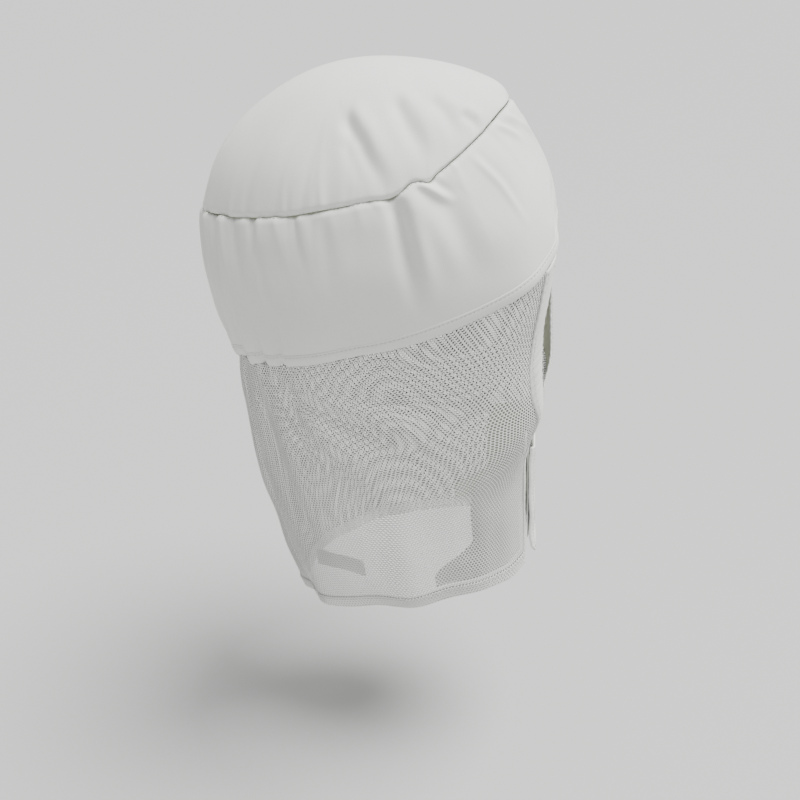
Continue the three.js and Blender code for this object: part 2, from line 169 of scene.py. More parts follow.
def shawl_point(angle, down):
    """Rings between the band's edge and the hem. The front draws in under the jaw, its corners
    stand forward at the cheeks, the back tapers late, and the left front steps out so that it
    can lap over the right one."""
    edge = ring_point(BAND_EDGE, angle)
    c, s = np.cos(np.radians(angle)), np.sin(np.radians(angle))
    power = mix(BAND_EDGE["power"], HEM_POWER, down)
    half = mix(BAND_EDGE["half"], HEM_HALF, down)
    back = BAND_EDGE["back"] + (HEM_BACK - BAND_EDGE["back"]) * np.abs(down) ** NAPE_POWER
    front = mix(BAND_EDGE["front"], HEM_FRONT, down) - JAW_TUCK * np.sin(np.pi * down)
    is_left = (turned(angle) < 0) & (c > 0)
    step = np.where(is_left, LAP_STEP * smooth(c, 0, 0.85) * smooth(down, 0, 0.25), 0)
    cheek = (mix(BAND_EDGE["cheek"], CHEEK_MID, smooth(down, 0.15, 0.42))
             - (CHEEK_MID - CHEEK_LOW) * smooth(down, 0.42, 0.7))
    return np.stack([
        -half * squared(s, power),
        (back - front) / 2 - (back + front) / 2 * squared(c, power) - step - cheek * corner(angle),
        mix(edge[..., 2], mix(HEM_BACK_Z, HEM_FRONT_Z, (1 + c) / 2), down),
    ], -1)


for title, sewn in (("crown seam", CROWN_SEAM), ("band's edge", BAND_EDGE)):
    sides = np.linalg.norm(np.diff(ring_point(sewn, np.arange(361.0)), axis=0), axis=1)
    print(title, "is", round(sides.sum() / MM), "mm round")

# %% [markdown]
# The seam between crown and band isn't a perfect ring. Where the band's fullness is pushed
# together, over the wearer's temples, the seam hangs a few millimetres low and hitches up at
# each pucker. The crown's last third is bent to meet it.

# %% The seam's real line, and the crown that meets it
def seam_share(angle):
    """How far down the band the crown seam lies, as a share of the band's height: a broad dip
    over each temple, with small hitches where the band's cloth bunches."""
    side = turned(angle)
    broad = 0.045 * bump(side, 52, 21) + 0.040 * bump(side, -48, 24)
    hitches = 0.024 * bump(side, 68, 4.5) + 0.018 * bump(side, 55.5, 2.6) - 0.018 * bump(side, 60, 2.5)
    hitches = hitches + 0.020 * bump(side, -63, 5) - 0.014 * bump(side, -55, 3)
    return broad + hitches + 0.004 * np.sin(np.radians(11 * angle)) * np.cos(np.radians(4 * angle))


def crown_point(angle, down):
    """An arc from the top of the head out and down to the seam: the reach grows with the sine of
    the arc and the height falls with its cosine."""
    ring = ring_point(CROWN_SEAM, angle)
    out = np.sin(down * CROWN_ARC) / math.sin(CROWN_ARC)
    drop = (1 - np.cos(down * CROWN_ARC)) / (1 - math.cos(CROWN_ARC))
    dome = np.stack([ring[..., 0] * out, ring[..., 1] * out,
                     TOP_Z + (ring[..., 2] - TOP_Z) * drop], -1)
    shift = band_point(angle, seam_share(angle)) - ring
    return dome + shift * smooth(down, 0.55, 1)[..., None]


deepest = seam_share(np.arange(360.0)).max()
print("the seam hangs at most", round(100 * deepest, 1), "percent of the band's height lower")

# %% [markdown]
# A fold stands straight out of the cloth that it lies in, so its height is added along the
# surface's normal. Two short steps, one across and one down, give it: their cross product is
# square to both.

# %% Normals of a surface, by small steps along its two directions
def normals_of(surface, angle, down):
    """Unit normals that point away from the inside of the head."""
    turn, drop = 0.2, 0.004
    across = surface(angle + turn, down) - surface(angle - turn, down)
    along = surface(angle, np.minimum(down + drop, 1)) - surface(angle, np.maximum(down - drop, 0))
    normal = np.cross(across, along)
    length = np.linalg.norm(normal, axis=-1, keepdims=True)
    normal = np.where(length > 1e-12, normal / np.maximum(length, 1e-12), [0, 0, 1.0])
    outward = ((surface(angle, down) - INSIDE) * normal).sum(-1, keepdims=True)
    return normal * np.where(outward < 0, -1, 1)


# %% [markdown]
# ## Folds
# Cloth can't be pressed together in its own plane, so spare length turns into folds. Three kinds
# show on this hood: single creases that someone could draw with a pencil, rows of short gathers
# that start at a seam and die away from it, and a general softness of the whole sheet.

# %% A crease, a row of gathers and a soft unevenness
DEGREE = 1.55 * MM            # a degree of the ring, measured along the cloth


def creases(angle, down, height, lines):
    """Height of the cloth over its smooth shape, from a list of (points, width, depth, swell).
    Beside a line of points (angle, share down) the height is depth * exp(-(s / width)^2) at a
    distance s, and a swell of the other sign lies at 1.7 widths on its face side."""
    total = np.zeros(np.broadcast(angle, down).shape)
    for points, width, depth, swell in lines:
        nearest = np.full(total.shape, np.inf)
        signed, travelled = np.zeros(total.shape), np.zeros(total.shape)
        steps = list(zip(points[:-1], points[1:]))
        lengths = [math.hypot((b[0] - a[0]) * DEGREE, (b[1] - a[1]) * height) for a, b in steps]
        for number, ((a0, d0), (a1, d1)) in enumerate(steps):
            x, y = turned(angle - a0) * DEGREE, (down - d0) * height
            run, fall = (a1 - a0) * DEGREE, (d1 - d0) * height
            t = np.clip((x * run + y * fall) / lengths[number] ** 2, 0, 1)
            gap = np.hypot(x - t * run, y - t * fall)
            side = np.sign(x * fall - y * run)
            closer = gap < nearest
            nearest = np.where(closer, gap, nearest)
            signed = np.where(closer, gap * side, signed)
            here = (sum(lengths[:number]) + t * lengths[number]) / sum(lengths)
            travelled = np.where(closer, here, travelled)
        fade = smooth(travelled, -0.05, 0.18) * (1 - smooth(travelled, 0.45, 1.0))
        total += depth * bump(signed, 0, width) * fade
        total -= depth * swell * bump(signed, -1.7 * width, 1.3 * width) * fade
    return total


def gathers(angle, away, count, seed, width, depth, length):
    """Ridges and valleys that start at a seam: count of them round the ring, each with its own
    place, width, depth and length, fading as exp(-away / length)."""
    rng = np.random.default_rng(seed)
    place = (np.arange(count) + rng.uniform(-0.38, 0.38, count)) * 360 / count
    wide = width * rng.uniform(0.6, 1.5, count)
    deep = depth * rng.uniform(-1, 1, count)
    long = length * rng.uniform(0.5, 1.6, count)
    lean = rng.uniform(-0.25, 0.25, count)
    beside = turned(angle[..., None] - place) * DEGREE - lean * away[..., None]
    return (deep * bump(beside, 0, wide) * np.exp(-away[..., None] / long)).sum(-1)


def softness(angle, down, height, seed, size, count=14):
    """Gentle unevenness from a sum of sine waves in random directions, about 1 high."""
    rng = np.random.default_rng(seed)
    x, y = angle * DEGREE, down * height
    total = np.zeros(np.broadcast(angle, down).shape)
    for way, phase, scale in zip(rng.uniform(0, math.pi, count), rng.uniform(0, 2 * math.pi, count),
                                 rng.uniform(0.6, 1.8, count)):
        turns = round(2 * math.pi * 360 * DEGREE * math.cos(way) / (size * scale) / (2 * math.pi))
        across = turns * np.radians(angle)
        total += np.sin(across + 2 * math.pi * y * math.sin(way) / (size * scale) + phase)
    return total / math.sqrt(count)


# %% [markdown]
# ## Finishes
# White work clothes are plain-woven poplin, a polyester and cotton mix: matt, a little fuzzy at
# grazing angles, with fine slubs. The shawl is a warp-knit net with round holes. Each finish
# below reads the piece's own cloth coordinates, which are real metres along the cloth, so the
# weave turns with the fold it lies on.

# %% Colour and node helpers
def linear(code):
    """An sRGB hex colour as the linear RGBA that a shader wants."""
    values = [int(code[i:i + 2], 16) / 255 for i in (1, 3, 5)]
    return (*[v / 12.92 if v <= 0.04045 else ((v + 0.055) / 1.055) ** 2.4 for v in values], 1)


def add_node(tree, kind, inputs=None, **settings):
    """Adds a node. inputs maps a socket's name or number to a value or to another node's output."""
    made = tree.nodes.new(kind)
    for name, value in settings.items():
        setattr(made, name, value)
    for name, value in (inputs or {}).items():
        if isinstance(value, bpy.types.NodeSocket):
            tree.links.new(value, made.inputs[name])
        else:
            made.inputs[name].default_value = value
    return made


def maths(tree, operation, *values):
    """A Math node on one to three values or sockets; returns its output."""
    return add_node(tree, "ShaderNodeMath", dict(enumerate(values)), operation=operation).outputs[0]


def start_finish(name, roughness, sheen):
    """A new material with its principled shader and the cloth coordinates, in metres."""
    made = bpy.data.materials.new(name)
    made.use_nodes = True
    tree = made.node_tree
    shader = tree.nodes["Principled BSDF"]
    shader.inputs["Roughness"].default_value = roughness
    shader.inputs["Sheen Weight"].default_value = sheen
    shader.inputs["Sheen Roughness"].default_value = 0.4
    shader.inputs["Specular IOR Level"].default_value = 0.25
    cloth = add_node(tree, "ShaderNodeUVMap", uv_map="cloth").outputs[0]
    return made, tree, shader, cloth


def waves(tree, cloth, across, down):
    """sin(pi u / across) and sin(pi v / down) of the cloth coordinates."""
    parts = add_node(tree, "ShaderNodeSeparateXYZ", {0: cloth}).outputs
    u = maths(tree, "SINE", maths(tree, "MULTIPLY", parts[0], math.pi / across))
    v = maths(tree, "SINE", maths(tree, "MULTIPLY", parts[1], math.pi / down))
    return u, v


# %% [markdown]
# Poplin has about 25 threads to the centimetre, too fine to show at arm's length, so the weave
# is drawn 2 times as coarse. Slubs are threads that swell for a few centimetres; they come from
# a noise that is stretched along the threads. A second, broad noise shifts the tone a little, as
# laundered white cloth does.

# %% Woven cloth
THREAD_PITCH = 0.8 * MM       # real 0.4 mm, drawn twice as coarse


def woven(name, colour, shade, pitch=THREAD_PITCH, roughness=0.82, sheen=0.12, relief=0.10):
    """Plain weave: the product of two sine waves is the over and under of a plain weave."""
    made, tree, shader, cloth = start_finish(name, roughness, sheen)
    u, v = waves(tree, cloth, pitch, pitch)
    weave = maths(tree, "MULTIPLY", u, v)
    slub_place = add_node(tree, "ShaderNodeMapping", {0: cloth, "Scale": (90, 1400, 1)}).outputs[0]
    slubs = add_node(tree, "ShaderNodeTexNoise", {0: slub_place, "Scale": 1, "Detail": 2}).outputs[0]
    warp_place = add_node(tree, "ShaderNodeMapping", {0: cloth, "Scale": (1400, 90, 1)}).outputs[0]
    warps = add_node(tree, "ShaderNodeTexNoise", {0: warp_place, "Scale": 1, "Detail": 2}).outputs[0]
    threads = maths(tree, "ADD", slubs, warps)
    tone = add_node(tree, "ShaderNodeTexNoise", {0: cloth, "Scale": 22, "Detail": 3}).outputs[0]
    grain = maths(tree, "MULTIPLY_ADD", threads, 0.30, maths(tree, "MULTIPLY", tone, 0.55))
    colours = add_node(tree, "ShaderNodeMix", {0: grain, 6: linear(shade), 7: linear(colour)},
                       data_type="RGBA").outputs[2]
    tree.links.new(colours, shader.inputs["Base Color"])
    rough = maths(tree, "MULTIPLY_ADD", tone, 0.12, roughness - 0.06)
    tree.links.new(rough, shader.inputs["Roughness"])
    height = maths(tree, "MULTIPLY_ADD", weave, 0.35, threads)
    relief_node = add_node(tree, "ShaderNodeBump", {"Height": height, "Strength": relief,
                                                    "Distance": 0.3 * MM})
    tree.links.new(relief_node.outputs[0], shader.inputs["Normal"])
    return made


poplin = woven("polyester cotton poplin, white", "#EDEDEA", "#D9DAD6")
# The reverse is the same white poplin. Its green grey tint is painted shade: the look of the inner faces in the
# shade inside the hood.
reverse = woven("poplin reverse, green grey painted shade", "#D9DBC9", "#C8CBB7")
# The lining's darker green grey is also painted shade, for the tapes and facings inside the hood.
lining = woven("cotton lining, green grey painted shade", "#C9CABD", "#B7B9AA", pitch=1.1 * MM, relief=0.16)
print("woven finishes:", poplin.name, "/", reverse.name, "/", lining.name)

# %% [markdown]
# The net is knitted, not punched: yarn runs round every hole, so the holes sit in a honeycomb
# lattice and the cloth between them is slightly raised. In shader terms the distance to the
# nearest hole's centre gives both: nothing inside the hole's radius, and a soft rise outside it.
# Worn, the inside of a hood lies in the shade of the head. No head is here to cast it, so the
# inner side has a darker finish of its own, which lets the holes read as dark dots.

# %% Net with real holes
NET_PITCH = 2.2 * MM           # real 1.95 mm, drawn a little coarser
HOLE_RADIUS = 0.76 * MM


def net_finish(name, radius, colour, shade):
    """Two rectangular lattices, shifted by half a cell, make the honeycomb. The cell is pitch
    wide and pitch * sqrt(3) high, and the smaller of the two distances is used."""
    made, tree, shader, cloth = start_finish(name, 0.72, 0.15)
    cell = (NET_PITCH, NET_PITCH * math.sqrt(3), 1)
    scaled = add_node(tree, "ShaderNodeVectorMath", {0: cloth, 1: cell}, operation="DIVIDE").outputs[0]
    gaps = []
    for shift in (0.0, 0.5):
        moved = add_node(tree, "ShaderNodeVectorMath", {0: scaled, 1: (shift, shift, 0)},
                         operation="ADD").outputs[0]
        part = add_node(tree, "ShaderNodeVectorMath", {0: moved}, operation="FRACTION").outputs[0]
        centred = add_node(tree, "ShaderNodeVectorMath", {0: part, 1: (0.5, 0.5, 0)},
                           operation="SUBTRACT").outputs[0]
        metres = add_node(tree, "ShaderNodeVectorMath", {0: centred, 1: (cell[0], cell[1], 0)},
                          operation="MULTIPLY").outputs[0]
        gaps.append(add_node(tree, "ShaderNodeVectorMath", {0: metres}, operation="LENGTH").outputs[1])
    gap = maths(tree, "MINIMUM", *gaps)
    solid = maths(tree, "GREATER_THAN", gap, radius)
    tree.links.new(solid, shader.inputs["Alpha"])
    rise = add_node(tree, "ShaderNodeMapRange", {0: gap, 1: radius, 2: NET_PITCH / 2},
                    interpolation_type="SMOOTHSTEP").outputs[0]
    tone = add_node(tree, "ShaderNodeTexNoise", {0: cloth, "Scale": 30, "Detail": 2}).outputs[0]
    # The colour is half random tone and half painted shade: darker where the cloth dips to each hole's rim.
    blend = maths(tree, "MULTIPLY_ADD", rise, 0.5, maths(tree, "MULTIPLY", tone, 0.5))
    colours = add_node(tree, "ShaderNodeMix", {0: blend, 6: linear(shade), 7: linear(colour)},
                       data_type="RGBA").outputs[2]
    tree.links.new(colours, shader.inputs["Base Color"])
    relief = add_node(tree, "ShaderNodeBump", {"Height": rise, "Strength": 0.5, "Distance": 0.25 * MM})
    tree.links.new(relief.outputs[0], shader.inputs["Normal"])
    return made


net = net_finish("warp-knit polyester net, white", HOLE_RADIUS, "#FAFAF8", "#DEDFDB")
net_inside = net_finish("warp-knit polyester net, inner side in shade", HOLE_RADIUS,
                        "#86877F", "#6E6F67")
print("net: holes", 2 * HOLE_RADIUS / MM, "mm across, every", NET_PITCH / MM, "mm")


# %% [markdown]
# Small goods: elastic is woven over rubber cores, so it has ribs along it and fine weft bars
# across. Sewing thread is two twisted plies. Hook and loop tapes are a woven ground with nylon
# hooks or soft loops. The label is satin, smooth one way and finely barred the other.

# %% Ribbed tape and elastic, thread, hook plastic, satin
def ribbed(name, colour, shade, rib, bar, roughness, sheen, relief):
    """Ribs along the tape and finer bars across it, from two sine waves that are added."""
    made, tree, shader, cloth = start_finish(name, roughness, sheen)
    bars, ribs = waves(tree, cloth, bar, rib)
    height = maths(tree, "MULTIPLY_ADD", bars, 0.4, ribs)
    fuzz = add_node(tree, "ShaderNodeTexNoise", {0: cloth, "Scale": 900, "Detail": 2}).outputs[0]
    # The colour is mostly random fuzz, and a little darker in the grooves between ribs and bars, which is painted
    # shade.
    level = maths(tree, "MULTIPLY_ADD", height, 0.2, maths(tree, "MULTIPLY", fuzz, 0.9))
    colours = add_node(tree, "ShaderNodeMix", {0: level, 6: linear(shade), 7: linear(colour)},
                       data_type="RGBA").outputs[2]
    tree.links.new(colours, shader.inputs["Base Color"])
    rough = maths(tree, "MULTIPLY_ADD", fuzz, 0.15, roughness - 0.08)
    tree.links.new(rough, shader.inputs["Roughness"])
    surface = maths(tree, "MULTIPLY_ADD", fuzz, 0.8, height)
    bumps = add_node(tree, "ShaderNodeBump", {"Height": surface, "Strength": relief,
                                              "Distance": 0.3 * MM})
    tree.links.new(bumps.outputs[0], shader.inputs["Normal"])
    return made


elastic = ribbed("woven elastic, white", "#F2F1EC", "#D8D7D0", 1.3 * MM, 0.8 * MM, 0.7, 0.1, 0.5)
thread = ribbed("spun polyester thread, white", "#E4E4E0", "#B9B9B3", 0.5 * MM, 0.4 * MM, 0.6, 0.1, 0.5)
pile = ribbed("nylon loop pile, white", "#F1F1EE", "#D5D5D1", 0.9 * MM, 0.9 * MM, 0.9, 0.3, 0.6)
hooks = ribbed("nylon hook tape, pale blue grey", "#DCE3E6", "#BFC9CE",
               1.0 * MM, 1.0 * MM, 0.42, 0.0, 0.5)
satin = ribbed("woven satin label, blank white", "#F4F4F2", "#E4E4E0",
               3.0 * MM, 0.5 * MM, 0.4, 0.05, 0.2)
print("small goods:", ", ".join(made.name for made in (elastic, thread, pile, hooks, satin)))


# %% [markdown]
# ## From arrays to pieces
# A grid of points becomes a mesh with one quad per cell. Its cloth coordinates are stored as a
# UV map in metres. A Solidify modifier then gives the sheet its thickness inwards, so that the
# computed surface stays the outside, and puts the reverse finish on the inner face.

# %% Build a piece from a grid
def cloth_lengths(points, ring):
    """Metres along the cloth at each grid point: the mean row length round, and each column's
    own length down. A ring gets one more column, so that the last cell doesn't run backwards."""
    closed = np.concatenate([points, points[:, :1]], 1) if ring else points
    across = np.linalg.norm(np.diff(closed, axis=1), axis=-1).mean(0)
    along = np.linalg.norm(np.diff(closed, axis=0), axis=-1)
    u = np.concatenate([[0], np.cumsum(across)])
    v = np.concatenate([np.zeros((1, closed.shape[1])), np.cumsum(along, 0)])
    return np.stack(np.broadcast_arrays(u[None, :], v), -1)


def finish_mesh(name, vertices, faces, corner_uv, materials):
    """One object at the origin, with smooth shading and the cloth coordinates."""
    mesh = bpy.data.meshes.new(name)
    mesh.from_pydata(vertices.tolist(), [], faces.tolist())
    layer = mesh.uv_layers.new(name="cloth")
    layer.data.foreach_set("uv", corner_uv.astype(np.float32).ravel())
    mesh.polygons.foreach_set("use_smooth", np.ones(len(faces), bool))
    for material in materials:
        mesh.materials.append(material)
    piece = bpy.data.objects.new(name, mesh)
    bpy.context.scene.collection.objects.link(piece)
    return piece


def cloth(name, points, materials, wall, ring=False, pole=False, uv=None, outward=None):
    """A sheet from a grid of points, rows down and columns across, with its thickness."""
    rows, columns = points.shape[:2]
    number = np.arange(rows * columns).reshape(rows, columns)
    if ring:
        number = np.hstack([number, number[:, :1]])
    uv = cloth_lengths(points, ring) if uv is None else uv
    cells = [(slice(None, -1), slice(None, -1)), (slice(1, None), slice(None, -1)),
             (slice(1, None), slice(1, None)), (slice(None, -1), slice(1, None))]
    faces = np.stack([number[cell] for cell in cells], -1).reshape(-1, 4)
    corners = np.stack([uv[cell] for cell in cells], 2).reshape(-1, 4, 2)
    flat = points.reshape(-1, 3)
    a, b, c = (flat[faces[:, i]] for i in (0, 1, 2))
    away = (a - INSIDE) if outward is None else np.asarray(outward)
    if (np.cross(b - a, c - a) * away).sum() < 0:
        faces, corners = faces[:, ::-1], corners[:, ::-1]
    piece = finish_mesh(name, flat, faces, corners.reshape(-1, 2), materials)
    if pole:
        work = bmesh.new()
        work.from_mesh(piece.data)
        bmesh.ops.remove_doubles(work, verts=work.verts, dist=1e-6)
        work.to_mesh(piece.data)
        work.free()
    if wall:
        thickness = piece.modifiers.new("cloth thickness", "SOLIDIFY")
        thickness.thickness = wall
        thickness.offset = -1
        thickness.material_offset = len(materials) - 1
    return piece


def settle(piece, nodes, body="hood"):
    """Hangs a piece on the body that it moves with and hides the CAD parts that it stands for."""
    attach(piece, body)
    if nodes:
        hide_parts(*nodes)
    corners = np.array([v.co for v in piece.data.vertices])
    size = (corners.max(0) - corners.min(0)) / MM
    print(f"{piece.name}: {len(piece.data.polygons)} faces, {size.round(0)} mm")
    return piece


# %% [markdown]
# Stitches, hooks and loops are the same job: one tiny mesh, repeated along a path or over a
# tape. The whole row is one array operation, the tiny mesh's local axes times each place's own
# three directions.

# %% Repeat a small shape, and lay stitches along a line
def strew(name, shape, faces, places, along, side, up, material):
    """Copies of a small shape. Each copy's local x, y and z lie on along, side and up."""
    points = (places[:, None] + shape[None, :, :1] * along[:, None]
              + shape[None, :, 1:2] * side[:, None] + shape[None, :, 2:] * up[:, None])
    step = np.arange(len(places))[:, None, None] * len(shape)
    every = (faces[None] + step).reshape(-1, faces.shape[1])
    spread = np.broadcast_to(shape[None, :, :2], points[..., :2].shape)
    uv = spread.reshape(-1, 2)[every.ravel()] + 0.01
    return finish_mesh(name, points.reshape(-1, 3), every, uv, [material])


def tube(centres, radii, sides):
    """A small closed tube along centres (n, 3) in the local x-z plane: rings of sides points,
    drawn to near points at both ends. Returns its points and its quads."""
    turn = np.arange(sides) * 2 * math.pi / sides
    ahead = np.gradient(centres, axis=0)
    ahead /= np.linalg.norm(ahead, axis=1, keepdims=True)
    lift = np.stack([-ahead[:, 2], 0 * ahead[:, 0], ahead[:, 0]], -1)
    side = np.array([0, 1.0, 0])
    ring = (np.cos(turn)[None, :, None] * lift[:, None] + np.sin(turn)[None, :, None] * side)
    points = (centres[:, None] + radii[:, None, None] * ring).reshape(-1, 3)
    i, k = np.meshgrid(np.arange(len(centres) - 1), np.arange(sides), indexing="ij")
    j = (k + 1) % sides
    quads = np.stack([i * sides + k, (i + 1) * sides + k, (i + 1) * sides + j, i * sides + j], -1)
    return points, quads.reshape(-1, 4)[:, ::-1]


STITCH_PITCH, STITCH_LENGTH, STITCH_WIDTH = 2.6 * MM, 2.1 * MM, 0.55 * MM


def stitches(name, line, up, width=STITCH_WIDTH, pitch=STITCH_PITCH):
    """Lock stitches along a line of points, each a bead that dips into the cloth at its ends."""
    line, up = np.asarray(line), np.asarray(up)
    run = np.concatenate([[0], np.cumsum(np.linalg.norm(np.diff(line, axis=0), axis=1))])
    count = int(run[-1] / pitch)
    at = (np.arange(count) + 0.5) * run[-1] / count
    place = np.stack([np.interp(at, run, line[:, i]) for i in range(3)], -1)
    ahead = np.stack([np.interp(at + pitch / 4, run, line[:, i]) for i in range(3)], -1) - place
    ahead /= np.linalg.norm(ahead, axis=1, keepdims=True)
    lift = np.stack([np.interp(at, run, up[:, i]) for i in range(3)], -1)
    lift /= np.linalg.norm(lift, axis=1, keepdims=True)
    reach = np.linspace(-0.5, 0.5, 5)
    arch = np.stack([reach * STITCH_LENGTH, 0 * reach, width * (0.35 - 1.6 * reach ** 2)], -1)
    shape, faces = tube(arch, width / 2 * np.array([0.25, 0.85, 1, 0.85, 0.25]), 6)
    return strew(name, shape, faces, place, ahead, np.cross(lift, ahead), lift, thread)


# %% [markdown]
# ## The crown
# On the head the crown is a smooth dome, pulled tight over the top and full above its seam,
# where it is eased on to a shorter ring. The spare cloth shows as short upright gathers over the
# ear and as long diagonal folds over the temple. The last two millimetres roll in to the seam,
# which is what draws the dark line round the hood.

# %% Crown folds and surface
CROWN_HEIGHT = 0.105          # from the top of the head to the seam, along the cloth
SEAM_ROLL = 1.5 * MM
CROWN_CREASES = [
    ([(88, 0.55), (83, 0.63), (78, 0.72), (72, 0.88), (68, 1.02)], 4.2 * MM, -3.0 * MM, 0.45),
    ([(85, 0.68), (80, 0.80), (75, 0.97)], 3.6 * MM, -1.1 * MM, 0.4),
    ([(64, 0.50), (60, 0.66), (57, 0.80), (54, 0.97)], 5.5 * MM, -2.1 * MM, 0.5),
    ([(47, 0.58), (43, 0.72), (40, 0.95)], 5.0 * MM, -1.3 * MM, 0.5),
    ([(37, 0.76), (33, 0.88), (31, 1.02)], 3.0 * MM, -1.2 * MM, 0.7),
    ([(12, 0.70), (10, 1.0)], 6.0 * MM, -0.8 * MM, 0.5),
    ([(-22, 0.62), (-28, 0.80), (-31, 1.0)], 5.0 * MM, -1.6 * MM, 0.5),
    ([(-52, 0.60), (-57, 0.78), (-61, 1.0)], 5.0 * MM, -2.2 * MM, 0.5),
    ([(-84, 0.58), (-78, 0.74), (-71, 1.0)], 4.5 * MM, -2.6 * MM, 0.45),
    ([(-112, 0.74), (-108, 1.0)], 4.0 * MM, -1.2 * MM, 0.5),
    ([(158, 0.70), (155, 1.0)], 4.0 * MM, -1.5 * MM, 0.6),
    ([(-160, 0.72), (-157, 1.0)], 4.0 * MM, -1.6 * MM, 0.6),
    ([(178, 0.66), (176, 1.0)], 5.0 * MM, -1.3 * MM, 0.5),
]


def crown_cloth(angle, down, inset=0.0):
    """The crown with its folds, moved inwards by inset."""
    away = (1 - down) * CROWN_HEIGHT
    side = np.abs(turned(angle))
    full = 0.35 + 0.65 * bump(side, 105, 28) + 0.5 * bump(side, 175, 30)
    height = creases(angle, down, CROWN_HEIGHT, CROWN_CREASES)
    height = height + full * gathers(angle, away, 64, 3, 2.4 * MM, 1.15 * MM, 17 * MM)
    height = height + 0.6 * MM * gathers(angle, away, 130, 4, 1.3 * MM, 1.0, 5 * MM)
    uneven = softness(angle, down, CROWN_HEIGHT, 5, 60 * MM) * smooth(down, 0.15, 0.7)
    height = height + 0.45 * MM * uneven
    roll = SEAM_ROLL * np.exp(-(away / (1.3 * MM)) ** 2)
    shape = crown_point(angle, down)
    return shape + normals_of(crown_point, angle, down) * (height - roll - inset)[..., None]


POPLIN_WALL = 0.45 * MM
ROUND = 460
around = np.arange(ROUND) * 360 / ROUND
down_crown = 1 - (1 - np.linspace(0, 1, 84)) ** 1.25
angle_grid, down_grid = np.meshgrid(around, down_crown)
crown = cloth("crown_panel_cloth", crown_cloth(angle_grid, down_grid), [poplin, reverse],
              POPLIN_WALL, ring=True, pole=True)
settle(crown, ["crown_panel"])

# %% [markdown]
# ## The band
# The band is cut longer than both its seams. At the nape the elastic draws it into deep pleats
# that run from seam to seam. At the side one deep fold hangs from the seam's hitch, and over the
# temple the cloth is only lightly creased.

# %% Band folds and surface
BAND_HEIGHT = 0.078
BAND_CREASES = [
    ([(67, 0.00), (67.5, 0.10), (70, 0.30), (74, 0.66), (76, 0.85)], 3.4 * MM, -4.8 * MM, 0.5),
    ([(59, 0.02), (56, 0.12), (52, 0.26)], 2.2 * MM, 2.6 * MM, 0.5),
    ([(62, 0.02), (61, 0.30), (63, 0.75)], 5.0 * MM, 1.5 * MM, 0.0),
    ([(54, 0.10), (56, 0.40), (60, 0.80)], 6.0 * MM, -1.8 * MM, 0.2),
    ([(40, 0.05), (37.5, 0.30), (37, 0.68)], 1.9 * MM, 1.0 * MM, 0.4),
    ([(25, 0.02), (20, 0.12), (15, 0.24)], 2.2 * MM, 1.8 * MM, 0.6),
    ([(18, 0.01), (8, 0.18), (-4, 0.38)], 2.8 * MM, 1.6 * MM, 0.5),
    ([(90, 0.02), (91, 0.25), (94, 0.60)], 3.5 * MM, -0.9 * MM, 0.4),
    ([(100, 0.01), (100, 0.35)], 3.0 * MM, -0.8 * MM, 0.5),
    ([(24, 0.95), (12, 0.75), (-2, 0.60)], 4.0 * MM, -1.2 * MM, 0.5),
    ([(-20, 0.02), (-16, 0.14), (-10, 0.28)], 2.4 * MM, 1.7 * MM, 0.6),
    ([(-44, 0.02), (-42, 0.35), (-40, 0.75)], 2.4 * MM, 1.1 * MM, 0.4),
    ([(-63, 0.00), (-64, 0.20), (-67, 0.70)], 4.0 * MM, -3.4 * MM, 0.5),
    ([(-84, 0.02), (-86, 0.45)], 4.0 * MM, -1.3 * MM, 0.5),
    ([(-100, 0.02), (-103, 0.55)], 3.6 * MM, -1.2 * MM, 0.5),
]


PLEAT_STRENGTH = 1.35


def pleats(angle, down):
    """Nape pleats: upright ridges and valleys between 108 degrees and the middle of the nape on
    both sides, deepest at the elastic, whose places drift towards the nape on the way down."""
    total = np.zeros(np.broadcast(angle, down).shape)
    side = turned(angle)
    rows = [(117, 2.8, -1.7), (127, 3.2, -2.4), (134, 2.6, 1.6), (141, 3.4, -3.0), (149, 2.8, 1.8),
            (157, 3.4, -2.8), (165, 3.0, 1.6), (173, 3.4, -2.6), (181, 3.0, 1.5), (189, 3.4, -2.7),
            (197, 2.8, 1.6), (206, 3.4, -2.9), (215, 3.0, 1.7), (223, 3.2, -2.5), (232, 3.0, 1.2),
            (241, 3.0, -1.8)]
    for place, width, depth in rows:
        middle = turned(place)
        bow = 3.0 * np.sin(np.pi * down) * np.sign(middle) - 2.0 * down * np.sign(middle)
        beside = turned(side - middle + bow) * DEGREE
        strength = 0.55 + 0.45 * smooth(down, 0.5, 1) - 0.25 * bump(down, 0.45, 0.25)
        wide = width * MM * (1.15 - 0.35 * down)
        total += PLEAT_STRENGTH * depth * MM * bump(beside, 0, wide) * strength
    return total


def band_height(angle, down):
    """Height of the band's cloth over its smooth shape."""
    away = (down - seam_share(angle)) * BAND_HEIGHT
    side = np.abs(turned(angle))
    full = 0.45 + 0.55 * bump(side, 110, 30)
    height = creases(angle, down, BAND_HEIGHT, BAND_CREASES) + pleats(angle, down)
    height = height + full * gathers(angle, np.maximum(away, 0), 70, 7, 1.9 * MM, 1.3 * MM, 12 * MM)
    height = height + 0.5 * MM * gathers(angle, np.maximum(away, 0), 140, 8, 1.2 * MM, 1.0, 4 * MM)
    uneven = softness(angle, down, BAND_HEIGHT, 9, 45 * MM) * smooth(away, 0, 15 * MM)
    return height + 0.5 * MM * uneven


def band_cloth(angle, down, inset=0.0):
    """The band with its folds, moved inwards by inset."""
    away = (down - seam_share(angle)) * BAND_HEIGHT
    roll = SEAM_ROLL * np.exp(-(away / (1.3 * MM)) ** 2)
    shape = band_point(angle, down)
    lift = band_height(angle, down) - roll - inset
    return shape + normals_of(band_point, angle, down) * lift[..., None]


